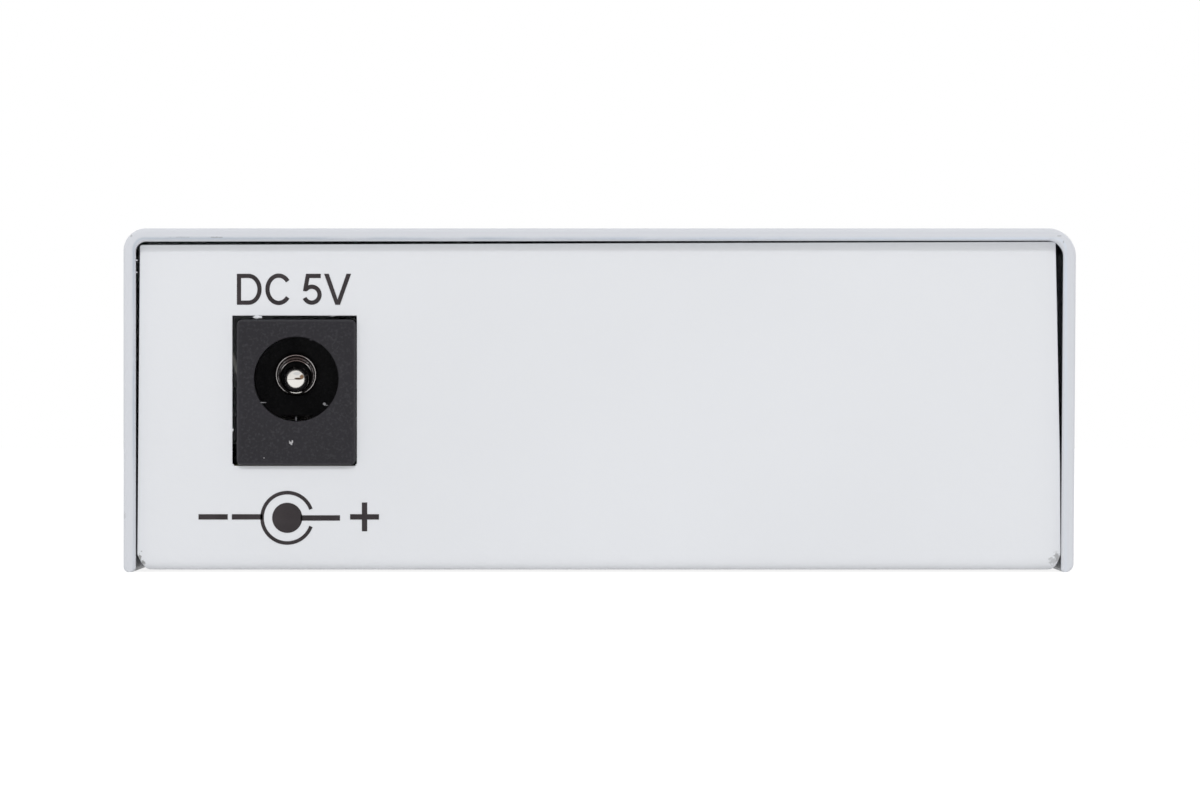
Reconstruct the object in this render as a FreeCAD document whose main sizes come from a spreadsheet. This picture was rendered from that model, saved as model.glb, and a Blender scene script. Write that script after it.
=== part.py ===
# Compact fibre media converter in a folded sheet-steel case, seen from its power-inlet end.
# Frame: origin at the middle of the footprint, +Z up. The power inlet faces -Y, the data ports face +Y,
# and +X is to the right when looking at the power inlet. Lengths are in millimetres.
import FreeCAD, Part

import math
import os
import re

import Sketcher

# Driving sizes. Each becomes a cell of the document's spreadsheet, and every feature is bound to them.
sizes_table = {
    # Cover: a sheet folded to an upside-down U
    "case_width": 72.0,
    "case_length": 94.0,
    "case_height": 26.0,
    "cover_sheet": 1.0,
    "cover_bend": 0.6,  # inside radius of the two folds
    "cut_edge": 0.22,  # paint-softened edges at the open ends
    "leg_edge": 0.3,  # paint-softened lower edges of the legs
    "vent_count": 8,
    "vent_width": 1.8,
    "vent_height": 9.0,
    "vent_pitch": 4.5,
    "vent_middle": 16.5,  # height of the middle of a slot
    # Tray: floor, two end panels and two side flanges, folded from one sheet
    "tray_sheet": 1.0,
    "tray_bend": 0.2,
    "tray_rise": 0.2,  # the floor lies this much above the cover's legs
    "side_gap": 0.3,
    "top_gap": 0.15,
    "panel_recess": 0.8,  # end panels stand back from the cover's ends
    "panel_corner": 0.5,
    "panel_lean": 0.25,  # the inlet panel's +X edge leans in by this much at its top
    "flange_height": 8.0,
    "corner_relief": 1.0,
    # Screws through the cover's legs
    "cover_screw_spacing": 60.0,
    "cover_screw_height": 4.1,
    "screw_radius": 1.45,
    "screw_play": 0.08,  # between a screw and the cover's seat
    "screw_hole_radius": 1.5,
    "sunk_head_radius": 2.5,
    "cover_screw_length": 4.4,
    # Standoffs and the screws that hold the board on them
    "standoff_height": 5.3,
    "standoff_flats": 5.0,
    "standoff_foot_flats": 4.2,
    "standoff_play": 0.03,
    "board_screw_length": 4.8,
    "pan_head_radius": 2.6,
    "pan_head_height": 1.7,
    # Circuit board
    "board_side_gap": 1.2,  # from the tray's flanges
    "board_end_gap": 1.7,  # from the tray's end panels
    "board_thickness": 1.6,
    "board_corner": 1.0,
    "board_hole_radius": 1.6,
    "board_hole_inset": 4.0,  # from the board's long edges
    "board_hole_front_inset": 25.5,  # from its end at the data ports
    "board_hole_rear_inset": 17.5,  # from its end at the power inlet
    "hole_play": 0.1,  # round pins, pegs, posts and terminals in the board
    "pin_side": 0.5,
    "tail_length": 1.0,  # pins stand out below the board by this much
    # Power inlet: a barrel socket for 5.5 mm plugs, with a 2 mm pin
    "inlet_inset": 9.55,  # its axis from the board's -X edge
    "inlet_width": 9.0,
    "inlet_height": 11.0,
    "inlet_axis_height": 6.5,
    "inlet_collar_depth": 3.4,
    "inlet_depth": 13.6,
    "inlet_barrel_width": 8.4,
    "inlet_bore_radius": 3.2,
    "inlet_bore_depth": 9.8,
    "inlet_proud": 0.4,
    "inlet_rounding": 0.22,
    "window_left": 0.33,  # gaps round the power inlet in the end panel's cut-out
    "window_right": 0.08,
    "window_top": 0.3,
    "window_bottom": 0.06,
    "centre_pin_radius": 1.0,
    "centre_pin_depth": 0.9,  # its tip stands behind the inlet's face
    "centre_pin_stem": 0.7,  # inside the eyelet and on through the housing
    "stem_play": 0.03,
    "eyelet_radius": 1.55,
    "eyelet_wall": 0.25,
    "eyelet_rise": 0.25,  # the eyelet sits this much above the pin's axis
    "eyelet_length": 1.2,
    "strip_thickness": 0.3,
    "strip_width": 2.4,
    "strip_top": 2.0,  # the terminals reach this far above the inlet's axis
    "spring_slot_front": 4.0,
    "spring_slot_rear": 8.6,
    "spring_slot_play": 0.15,
    "spring_reach": 2.75,  # the spring bulges to this distance from the axis
    "spring_bulge": 1.8,  # place of the bulge behind the slot's front
    "spring_drop": 0.6,
    "switch_contact_y": 6.5,
    # Network socket: eight contacts in a shielded box
    "socket_inset": 10.5,  # its middle from the board's -X edge
    "socket_width": 16.0,
    "socket_height": 13.4,
    "socket_depth": 16.6,
    "socket_proud": 0.3,
    "shield_sheet": 0.25,
    "shield_tab_width": 1.4,
    "shield_tab_y": 8.0,
    "insert_play": 0.05,
    "insert_depth": 12.8,
    "insert_peg": 2.0,
    "insert_peg_x": 5.6,
    "insert_peg_y": 10.0,
    "plug_width": 11.9,
    "plug_bottom": 4.7,
    "plug_top": 11.4,
    "plug_depth": 11.8,
    "latch_width": 6.2,
    "latch_bottom": 3.1,
    "key_width": 3.6,
    "key_bottom": 2.2,
    "contact_count": 8,
    "contact_pitch": 1.02,
    "contact_width": 0.4,
    "contact_thickness": 0.3,
    "contact_groove": 0.9,
    "contact_front": 2.9,
    "contact_tip_y": 9.2,
    "contact_tip_drop": 3.1,
    "contact_rear": 15.4,
    "panel_play": 0.2,  # gap between a connector and its cut-out
    # Fibre transceiver: two square fibre ports side by side
    "fibre_share": 0.6,  # share of the free room that lies between it and the network socket
    "fibre_width": 25.4,
    "fibre_height": 9.9,
    "fibre_length": 38.5,
    "fibre_proud": 0.5,
    "fibre_edge": 0.3,
    "port_width": 9.1,
    "port_height": 7.5,
    "port_depth": 12.4,
    "port_floor": 1.2,
    "key_slot_width": 3.0,
    "key_slot_height": 0.7,
    "port_wall": 1.6,
    "chamber_wall": 1.1,
    "post_side": 1.7,
    "post_y": 9.0,
    "ferrule_bore_radius": 1.25,
    "sleeve_radius": 2.2,
    "sleeve_front": 5.2,
    "sleeve_play": 0.05,
    "sleeve_reach": 0.5,  # the sleeve stands out behind the port's rear wall
    "clip_plate": 0.8,
    "clip_arm": 0.7,
    "clip_half": 3.9,
    "clip_height": 6.0,
    "clip_width": 2.6,
    "clip_hook": 0.4,
    "clip_hook_length": 0.9,
    "can_radius": 2.6,
    "can_length": 3.6,
    "can_lead": 0.4,
    "can_lead_length": 4.0,
    "can_lead_pitch": 1.27,
    "daughter_thickness": 1.0,
    "daughter_gap": 1.0,
    "daughter_play": 0.3,
    "fibre_pin_count": 9,
    "fibre_pin_y": 3.0,
    # Status lamps, three across and two high
    "lamp_inset": 6.9,  # the middle lamps from the board's +X edge
    "lamp_pitch": 4.2,
    "lamp_low": 3.6,
    "lamp_rows": 5.0,
    "lamp_width": 2.6,
    "lamp_height": 1.5,
    "lamp_play": 0.12,
    "lamp_proud": 0.4,
    "lamp_edge": 0.2,
    "holder_depth": 5.0,
    "holder_gap": 1.2,
    "holder_rim": 1.9,
    "holder_edge": 0.4,
    "holder_peg": 1.2,
    "holder_peg_x": 3.6,
    # Parts on the board
    "lead_reach": 1.0,
    "lead_thickness": 0.2,
    "lead_width": 0.35,
    "chip_side": 7.0,
    "chip_height": 1.4,
    "chip_edge": 0.15,
    "chip_x": -2.0,
    "chip_y": -10.0,
    "chip_leads": 4,
    "chip_lead_pitch": 1.5,
    "transformer_shift": 1.0,  # its middle from the network socket's, towards +X
    "transformer_gap": 16.1,  # behind the network socket
    "transformer_width": 12.8,
    "transformer_length": 9.6,
    "transformer_height": 5.6,
    "transformer_edge": 0.5,
    "transformer_leads": 6,
    "transformer_lead_pitch": 1.27,
    "transformer_lead_width": 0.5,
    "regulator_x": -9.0,
    "regulator_inset": 7.5,  # from the board's end at the power inlet
    "regulator_width": 6.5,
    "regulator_length": 3.5,
    "regulator_height": 1.6,
    "regulator_lead_pitch": 2.3,
    "regulator_lead_width": 0.7,
    "regulator_tab_width": 3.0,
    "inductor_x": 3.0,
    "inductor_inset": 8.5,
    "inductor_side": 7.3,
    "inductor_corner": 1.3,
    "inductor_height": 3.8,
    "terminal_reach": 1.6,
    "terminal_width": 2.6,
    "capacitor_side_inset": 18.5,  # the first can from the board's +X edge
    "capacitor_inset": 8.5,
    "capacitor_pitch": 8.4,
    "capacitor_radius": 3.15,
    "capacitor_height": 7.7,
    "capacitor_base": 0.8,
    "capacitor_base_side": 6.6,
    "capacitor_base_corner": 1.2,
    "crystal_x": -19.0,
    "crystal_y": -9.0,
    "crystal_length": 11.0,
    "crystal_width": 4.6,
    "crystal_height": 3.6,
    "passive_count": 6,
    "passive_length": 1.6,
    "passive_width": 0.8,
    "resistor_height": 0.45,
    "ceramic_height": 0.85,
    "passive_pitch": 2.6,
    "resistor_x": 9.0,
    "resistor_y": -19.0,
    "ceramic_x": 9.0,
    "ceramic_y": -3.0,
}

doc = FreeCAD.newDocument("media_converter")
sheet = doc.addObject("Spreadsheet::Sheet", "sizes")
for row, (alias, value) in enumerate(sizes_table.items(), start=1):
    sheet.set(f"A{row}", alias)
    sheet.set(f"B{row}", str(value))
    sheet.setAlias(f"B{row}", alias)
doc.recompute()

same_place = 0.005  # edges this close to a place are taken to lie on it

# Places that several pieces share, as expressions of the sizes
tray_half = "(case_width / 2 - cover_sheet - side_gap)"
tray_end = "(case_length / 2 - panel_recess)"
tray_top = "(case_height - cover_sheet - top_gap)"
floor_top = "(tray_rise + tray_sheet)"
fold_outside = "(tray_bend + tray_sheet)"
board_bottom = f"({floor_top} + standoff_height)"
board_top = f"({board_bottom} + board_thickness)"
board_width = f"(2 * ({tray_half} - tray_sheet - board_side_gap))"
board_length = f"(2 * ({tray_end} - tray_sheet - board_end_gap))"
board_hole_x = f"({board_width} / 2 - board_hole_inset)"
board_hole_front = f"({board_length} / 2 - board_hole_front_inset)"
board_hole_rear = f"({board_length} / 2 - board_hole_rear_inset)"
board_hole_spacing = f"({board_hole_rear} + {board_hole_front})"
inlet_x = f"({board_width} / 2 - inlet_inset)"
socket_x = f"({board_width} / 2 - socket_inset)"
lamp_x = f"({board_width} / 2 - lamp_inset)"
holder_half = "(lamp_pitch + holder_rim)"
fibre_room = f"({lamp_x} - {holder_half} + {socket_x} - socket_width / 2 - fibre_width)"
fibre_x = f"(fibre_share * {fibre_room} + socket_width / 2 - {socket_x} + fibre_width / 2)"
fibre_pitch = "(fibre_width / 2)"
pin_pitch = "(fibre_width / 10)"
post_x = "(4 * fibre_width / 10)"
transformer_x = f"(transformer_shift - {socket_x})"
tail_drop = "(board_thickness + tail_length)"
inlet_face = f"(-{tray_end} - inlet_proud)"
socket_face = f"({tray_end} + socket_proud)"
fibre_face = f"({tray_end} + fibre_proud)"
port_middle = "(port_floor + port_height / 2)"
port_rear = "(port_depth + port_wall)"
sleeve_rear = f"({port_rear} + sleeve_reach)"
daughter_front = f"({sleeve_rear} + can_length + daughter_gap)"
daughter_top = f"({port_middle} - can_lead / 2)"
daughter_bottom = f"({daughter_top} - daughter_thickness)"
holder_front = f"({tray_end} - tray_sheet - holder_gap)"
strip_middle_y = "(spring_slot_rear - strip_thickness / 2)"
transformer_y = f"({socket_face} - socket_depth - transformer_gap - transformer_length / 2)"
regulator_y = f"(regulator_inset - {board_length} / 2)"
inductor_y = f"(inductor_inset - {board_length} / 2)"
capacitor_x = f"({board_width} / 2 - capacitor_side_inset)"
capacitor_y = f"(capacitor_inset - {board_length} / 2)"


def bound(text):
    """The expression, with each size written as a cell of the spreadsheet."""

    def cell(match):
        return "sizes." + match.group() if match.group() in sizes_table else match.group()

    return re.sub(r"[a-z][a-z_]*", cell, text)


def number(text):
    return float(sheet.evalExpression(bound(text)))


def bind(feature, name, text):
    feature.setExpression(name, bound(text))


def arc_middle(start, end, radius, side):
    """Centre of the short arc from start to end. Side is 1 where the centre lies left of that way, or -1."""
    chord = end - start
    rise = math.sqrt(max(radius**2 - chord.Length**2 / 4, 0.0))
    across = FreeCAD.Vector(-chord.y, chord.x, 0).normalize()
    return (start + end) * 0.5 + across * rise * side


class Drawing:
    """A sketch whose points and radii are bound to the sizes."""

    def __init__(self, sketch):
        self.sketch = sketch

    def dimension(self, text, kind, *where):
        index = self.sketch.addConstraint(Sketcher.Constraint(kind, *where, number(text)))
        bind(self.sketch, f"Constraints[{index}]", text)

    def place(self, geometry, point, x, y):
        self.dimension(x, "DistanceX", -1, 1, geometry, point)
        self.dimension(y, "DistanceY", -1, 1, geometry, point)

    def rectangle(self, left, low, right, high):
        corners = [(left, low), (right, low), (right, high), (left, high)]
        points = [FreeCAD.Vector(number(x), number(y), 0) for x, y in corners]
        first = self.sketch.GeometryCount
        for k in range(4):
            self.sketch.addGeometry(Part.LineSegment(points[k], points[(k + 1) % 4]), False)
        for k in range(4):
            after = first + (k + 1) % 4
            self.sketch.addConstraint(Sketcher.Constraint("Coincident", first + k, 2, after, 1))
            self.sketch.addConstraint(Sketcher.Constraint("Vertical" if k % 2 else "Horizontal", first + k))
        self.place(first, 1, left, low)
        self.place(first + 1, 2, right, high)

    def square(self, x, y, side):
        self.rectangle(f"{x} - {side} / 2", f"{y} - {side} / 2", f"{x} + {side} / 2", f"{y} + {side} / 2")

    def circle(self, x, y, radius):
        middle = FreeCAD.Vector(number(x), number(y), 0)
        shape = Part.Circle(middle, FreeCAD.Vector(0, 0, 1), number(radius))
        index = self.sketch.addGeometry(shape, False)
        self.place(index, 3, x, y)
        self.dimension(radius, "Radius", index)

    def outline(self, *corners):
        """Closed outline. A corner is (x, y), or (x, y, radius, side) where an arc leaves it."""
        points = [FreeCAD.Vector(number(c[0]), number(c[1]), 0) for c in corners]
        first = self.sketch.GeometryCount
        ends = []
        for k, corner in enumerate(corners):
            start, end = points[k], points[(k + 1) % len(points)]
            if len(corner) == 2:
                self.sketch.addGeometry(Part.LineSegment(start, end), False)
                ends.append((1, 2))
                continue
            radius, side = number(corner[2]), corner[3]
            middle = arc_middle(start, end, radius, side)
            turn = [math.atan2(p.y - middle.y, p.x - middle.x) for p in (start, end)]
            low, high = turn if side > 0 else reversed(turn)
            circle = Part.Circle(middle, FreeCAD.Vector(0, 0, 1), radius)
            self.sketch.addGeometry(Part.ArcOfCircle(circle, low, high), False)
            ends.append((1, 2) if side > 0 else (2, 1))
        for k in range(len(corners)):
            after = (k + 1) % len(corners)
            joined = Sketcher.Constraint("Coincident", first + k, ends[k][1], first + after, ends[after][0])
            self.sketch.addConstraint(joined)
        for k, corner in enumerate(corners):
            self.place(first + k, ends[k][0], corner[0], corner[1])
            if len(corner) > 2:
                self.dimension(corner[2], "Radius", first + k)

    def hexagon(self, flats):
        corner = f"({flats}) / 2 / cos(30 deg)"
        self.outline(*[(f"{corner} * cos({60 * k} deg)", f"{corner} * sin({60 * k} deg)") for k in range(6)])

    def slot(self, x, y, height, radius):
        """Upright slot with round ends, as high as height over all."""
        reach = FreeCAD.Vector(number(radius), 0, 0)
        lift = FreeCAD.Vector(0, number(height) / 2 - number(radius), 0)
        middle = FreeCAD.Vector(number(x), number(y), 0)
        axis = FreeCAD.Vector(0, 0, 1)
        first = self.sketch.GeometryCount
        for shape in (
            Part.ArcOfCircle(Part.Circle(middle + lift, axis, reach.x), 0, math.pi),
            Part.LineSegment(middle - reach + lift, middle - reach - lift),
            Part.ArcOfCircle(Part.Circle(middle - lift, axis, reach.x), math.pi, 2 * math.pi),
            Part.LineSegment(middle + reach - lift, middle + reach + lift),
        ):
            self.sketch.addGeometry(shape, False)
        for k in range(4):
            self.sketch.addConstraint(Sketcher.Constraint("Tangent", first + k, 2, first + (k + 1) % 4, 1))
        self.sketch.addConstraint(Sketcher.Constraint("Vertical", first + 1))
        self.sketch.addConstraint(Sketcher.Constraint("Equal", first, first + 2))
        self.place(first, 3, x, f"{y} + {height} / 2 - {radius}")
        self.dimension(f"{y} - {height} / 2 + {radius}", "DistanceY", -1, 1, first + 2, 3)
        self.dimension(radius, "Radius", first)

    def gull_wing(self, side, top, foot, thickness):
        """A lead that leaves a body's side, steps down and ends in a flat foot at height 0."""
        knee = f"{side} + {foot} / 3"
        self.outline(
            (side, top),
            (side, f"{top} - {thickness}"),
            (knee, f"{top} - {thickness}"),
            (knee, "0"),
            (f"{side} + {foot}", "0"),
            (f"{side} + {foot}", thickness),
            (f"{knee} + {thickness}", thickness),
            (f"{knee} + {thickness}", top),
        )


class Piece:
    """A body with its own frame, and short ways to add features to it."""

    def __init__(self, label, x="0", y="0", z="0"):
        self.body = doc.addObject("PartDesign::Body", label)
        self.body.Label = label
        self.body.AllowCompound = True
        for axis, text in zip("xyz", (x, y, z)):
            bind(self.body, f"Placement.Base.{axis}", text)

    def reference(self, role):
        return ([f for f in self.body.Origin.OriginFeatures if f.Role == role][0], [""])

    def draw(self, name, role, shift=("0", "0", "0")):
        """A sketch on an origin plane, moved along its own three axes."""
        sketch = self.body.newObject("Sketcher::SketchObject", name)
        sketch.AttachmentSupport = self.reference(role)
        sketch.MapMode = "FlatFace"
        for axis, text in zip("xyz", shift):
            if text != "0":
                bind(sketch, f"AttachmentOffset.Base.{axis}", text)
        return Drawing(sketch)

    def settle(self, name, before, sign):
        """Recompute, and see that the volume grew (1), shrank (-1) or only changed (0)."""
        doc.recompute()
        change = self.body.Shape.Volume - before
        if change * sign < 0 or abs(change) < 1e-6:
            raise RuntimeError(f"{self.body.Label}: {name} changes the volume by {change:.4f}")

    def volume(self):
        return self.body.Shape.Volume if self.body.Tip else 0.0

    def feature(self, kind, name, drawing, sign, options):
        before = self.volume()
        made = self.body.newObject("PartDesign::" + kind, name)
        made.Profile = drawing.sketch
        for key, value in options.items():
            if isinstance(value, str):
                bind(made, key, value)
            else:
                setattr(made, key, value)
        self.settle(name, before, sign)
        return made

    def pad(self, name, drawing, length, **options):
        return self.feature("Pad", name, drawing, 1, {"Length": length, **options})

    def pocket(self, name, drawing, length, **options):
        return self.feature("Pocket", name, drawing, -1, {"Length": length, **options})

    def revolve(self, name, drawing, axis):
        return self.feature("Revolution", name, drawing, 1, {"ReferenceAxis": (drawing.sketch, [axis])})

    def groove(self, name, drawing, axis):
        return self.feature("Groove", name, drawing, -1, {"ReferenceAxis": (drawing.sketch, [axis])})

    def soften(self, name, size, picked, kind="Fillet"):
        """Fillet or chamfer of the edges that picked() chooses."""
        before = self.volume()
        tip = self.body.Tip
        names = [f"Edge{k}" for k, edge in enumerate(tip.Shape.Edges, start=1) if picked(edge)]
        made = self.body.newObject("PartDesign::" + kind, name)
        made.Base = (tip, names)
        bind(made, "Radius" if kind == "Fillet" else "Size", size)
        self.settle(name, before, 0)
        return made

    def repeat(self, name, originals, *steps):
        """Copies features. A step is (axis, length, count), (axis, count) to go round, or a mirror plane."""
        before = self.volume()
        made = self.body.newObject("PartDesign::MultiTransform", name)
        made.Originals = originals
        moves = []
        for k, step in enumerate(steps):
            if isinstance(step, str):
                move = self.body.newObject("PartDesign::Mirrored", f"{name}_{k}")
                move.MirrorPlane = self.reference(step)
            elif len(step) == 2:
                move = self.body.newObject("PartDesign::PolarPattern", f"{name}_{k}")
                move.Axis = self.reference(step[0])
                bind(move, "Occurrences", step[1])
            else:
                move = self.body.newObject("PartDesign::LinearPattern", f"{name}_{k}")
                move.Direction = self.reference(step[0])
                bind(move, "Length", step[1])
                bind(move, "Occurrences", step[2])
            moves.append(move)
        made.Transformations = moves
        self.body.Tip = made
        self.settle(name, before, 0)
        return made


def near(value, text):
    return abs(abs(value) - abs(number(text))) < same_place


def flat(low, high):
    return high - low < same_place


def lies_at(**places):
    """Picks the edges that lie wholly at these distances from the origin planes, on either side of them."""

    def picked(edge):
        box = edge.BoundBox
        spans = {"x": (box.XMin, box.XMax), "y": (box.YMin, box.YMax), "z": (box.ZMin, box.ZMax)}
        return all(flat(*spans[axis]) and near(spans[axis][0], text) for axis, text in places.items())

    return picked


def longer_than(length, picked):
    return lambda edge: picked(edge) and edge.Length > number(length) + same_place


def cover():
    """The upper shell, with vent slots and sunk screw seats in both legs."""
    piece = Piece("cover")
    half = "case_width / 2"
    section = piece.draw("cover_section", "XZ_Plane")
    section.outline(
        (f"-{half}", "0"),
        (f"-{half}", "case_height"),
        (half, "case_height"),
        (half, "0"),
        (f"{half} - cover_sheet", "0"),
        (f"{half} - cover_sheet", "case_height - cover_sheet"),
        (f"cover_sheet - {half}", "case_height - cover_sheet"),
        (f"cover_sheet - {half}", "0"),
    )
    piece.pad("cover_sheet_folded", section, "case_length", Midplane=True)
    piece.soften("cover_outer_folds", "cover_bend + cover_sheet", lies_at(x=half, z="case_height"))
    inside = lies_at(x=f"{half} - cover_sheet", z="case_height - cover_sheet")
    piece.soften("cover_inner_folds", "cover_bend", inside)
    piece.soften("cover_leg_ends", "leg_edge", longer_than("cover_sheet", lies_at(z="0")), "Chamfer")
    piece.soften("cover_open_ends", "cut_edge", lies_at(y="case_length / 2"), "Chamfer")
    vent = piece.draw("vent_outline", "YZ_Plane")
    row = "(vent_count - 1) * vent_pitch"
    vent.rectangle(f"-{row} / 2 - vent_width / 2", "vent_middle - vent_height / 2",
                   f"-{row} / 2 + vent_width / 2", "vent_middle + vent_height / 2")
    first = piece.pocket("first_vents", vent, "case_width + 1", Midplane=True)
    piece.repeat("vents", [first], ("Y_Axis", row, "vent_count"))
    seat = piece.draw("seat_section", "XY_Plane", ("0", "-cover_screw_spacing / 2", "cover_screw_height"))
    seat.outline(
        (f"{half} - 2 * cover_sheet", "0"),
        (f"{half} + cover_sheet", "0"),
        (f"{half} + cover_sheet", "sunk_head_radius + 2 * screw_play"),
        (half, "sunk_head_radius + 2 * screw_play"),
        (f"{half} - cover_sheet", "screw_radius + 2 * screw_play"),
        (f"{half} - 2 * cover_sheet", "screw_radius + 2 * screw_play"),
    )
    sunk = piece.groove("first_seat", seat, "H_Axis")
    piece.repeat("seats", [sunk], ("Y_Axis", "cover_screw_spacing", "2"), "YZ_Plane")
    return piece.body


def folded_tray(piece):
    """Floor and end panels folded from one strip, then the side flanges between the corner reliefs."""
    profile = piece.draw("tray_profile", "YZ_Plane")
    profile.outline(
        (f"-{tray_end}", tray_top),
        (f"-{tray_end}", "tray_rise"),
        (tray_end, "tray_rise"),
        (tray_end, tray_top),
        (f"{tray_end} - tray_sheet", tray_top),
        (f"{tray_end} - tray_sheet", floor_top),
        (f"tray_sheet - {tray_end}", floor_top),
        (f"tray_sheet - {tray_end}", tray_top),
    )
    piece.pad("floor_and_panels", profile, f"2 * {tray_half}", Midplane=True)
    piece.soften("panel_outer_folds", fold_outside, lies_at(y=tray_end, z="tray_rise"))
    piece.soften("panel_inner_folds", "tray_bend", lies_at(y=f"{tray_end} - tray_sheet", z=floor_top))
    corner = piece.draw("lower_corner", "XZ_Plane")
    corner.outline(
        (tray_half, "tray_rise"),
        (tray_half, f"tray_rise + {fold_outside}", fold_outside, -1),
        (f"{tray_half} - {fold_outside}", "tray_rise"),
    )
    rounded = piece.pocket("lower_corner_off", corner, "case_length", Midplane=True)
    strip = piece.draw("side_strip", "XY_Plane", ("0", "0", floor_top))
    reach = f"({tray_end} - {fold_outside})"
    strip.rectangle(f"{tray_half} - {fold_outside}", f"-{reach}", f"{tray_half} + 1", reach)
    opened = piece.pocket("side_strip_off", strip, "2 * tray_sheet")
    flange = piece.draw("flange_section", "XZ_Plane")
    flange.outline(
        (f"{tray_half} - {fold_outside}", "tray_rise"),
        (f"{tray_half} - {fold_outside}", floor_top, "tray_bend", 1),
        (f"{tray_half} - tray_sheet", f"{floor_top} + tray_bend"),
        (f"{tray_half} - tray_sheet", "tray_rise + flange_height"),
        (tray_half, "tray_rise + flange_height"),
        (tray_half, f"tray_rise + {fold_outside}", fold_outside, -1),
    )
    side = piece.pad("flange", flange, f"2 * {reach} - 2 * corner_relief", Midplane=True)
    piece.repeat("both_sides", [rounded, opened, side], "YZ_Plane")
    piece.soften("upper_corners", "panel_corner", lies_at(x=tray_half, z=tray_top))
    lean = piece.draw("rear_panel_lean", "XZ_Plane", ("0", "0", tray_end))
    lean.outline(
        (f"{tray_half} + 1", f"{tray_top} + 1"),
        (f"{tray_half} - panel_lean", f"{tray_top} + 1"),
        (f"{tray_half} - panel_lean", tray_top),
        (tray_half, "tray_rise + flange_height"),
        (f"{tray_half} + 1", "tray_rise + flange_height"),
    )
    piece.pocket("rear_panel_lean_off", lean, "tray_sheet")


def tray_windows(piece):
    """Cut-outs for the power inlet at one end, and for the data ports and lamps at the other."""
    inlet = piece.draw("inlet_window", "XZ_Plane", ("0", "0", tray_end))
    inlet.rectangle(
        f"-{inlet_x} - inlet_width / 2 - window_left",
        f"{board_top} - window_bottom",
        f"-{inlet_x} + inlet_width / 2 + window_right",
        f"{board_top} + inlet_height + window_top",
    )
    piece.pocket("inlet_window_off", inlet, "tray_sheet")
    ports = piece.draw("port_windows", "XZ_Plane", ("0", "0", f"-{tray_end}"))
    for middle, connector in ((f"-{socket_x}", "socket"), (fibre_x, "fibre")):
        ports.rectangle(
            f"{middle} - {connector}_width / 2 - panel_play",
            f"{board_top} - panel_play",
            f"{middle} + {connector}_width / 2 + panel_play",
            f"{board_top} + {connector}_height + panel_play",
        )
    piece.pocket("port_windows_off", ports, "tray_sheet", Reversed=True)
    lamp = piece.draw("lamp_window", "XZ_Plane", ("0", "0", f"-{tray_end}"))
    lamp.rectangle(
        f"{lamp_x} - lamp_pitch - lamp_width / 2 - lamp_play",
        f"{board_top} + lamp_low - lamp_height / 2 - lamp_play",
        f"{lamp_x} - lamp_pitch + lamp_width / 2 + lamp_play",
        f"{board_top} + lamp_low + lamp_height / 2 + lamp_play",
    )
    hole = piece.pocket("first_lamp_window", lamp, "tray_sheet", Reversed=True)
    piece.repeat("lamp_windows", [hole], ("X_Axis", "2 * lamp_pitch", "3"), ("Z_Axis", "lamp_rows", "2"))


def base_tray():
    """The lower shell: floor, end panels and flanges, with tapped holes and standoff seats."""
    piece = Piece("base_tray")
    folded_tray(piece)
    tray_windows(piece)
    tap = piece.draw("tap_outline", "YZ_Plane", ("0", "0", tray_half))
    tap.circle("-cover_screw_spacing / 2", "cover_screw_height", "screw_hole_radius")
    tapped = piece.pocket("tapped_hole", tap, "tray_sheet")
    piece.repeat("tapped_holes", [tapped], ("Y_Axis", "cover_screw_spacing", "2"), "YZ_Plane")
    seat = piece.draw("standoff_seat", "XY_Plane", (board_hole_x, f"-{board_hole_rear}", floor_top))
    seat.hexagon("standoff_foot_flats + 2 * standoff_play")
    hole = piece.pocket("first_standoff_seat", seat, "tray_sheet")
    piece.repeat("standoff_seats", [hole], ("Y_Axis", board_hole_spacing, "2"), "YZ_Plane")
    return piece.body


def cover_screws():
    """Four sunk-head screws that hold the cover's legs to the tray's flanges."""
    piece = Piece("cover_screws")
    face = "(case_width / 2 - screw_play)"
    centre = ("0", "-cover_screw_spacing / 2", "cover_screw_height")
    half = piece.draw("sunk_screw_section", "XY_Plane", centre)
    half.outline(
        (face, "0"),
        (face, "sunk_head_radius"),
        (f"{face} - cover_sheet", "screw_radius"),
        (f"{face} - cover_screw_length", "screw_radius"),
        (f"{face} - cover_screw_length", "0"),
    )
    turned = piece.revolve("sunk_screw", half, "H_Axis")
    piece.repeat("sunk_screws", [turned], ("Y_Axis", "cover_screw_spacing", "2"), "YZ_Plane")
    return piece.body


def board_screws():
    """Four pan-head screws that hold the board on its standoffs."""
    piece = Piece("board_screws", z=board_top)
    half = piece.draw("pan_screw_section", "XZ_Plane", (board_hole_x, "0", board_hole_rear))
    half.outline(
        ("0", "pan_head_height"),
        ("pan_head_radius", "pan_head_height"),
        ("pan_head_radius", "0"),
        ("screw_radius", "0"),
        ("screw_radius", "-board_screw_length"),
        ("0", "-board_screw_length"),
    )
    turned = piece.revolve("pan_screw", half, "V_Axis")
    piece.repeat("pan_screws", [turned], ("Y_Axis", board_hole_spacing, "2"), "YZ_Plane")
    return piece.body


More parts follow.
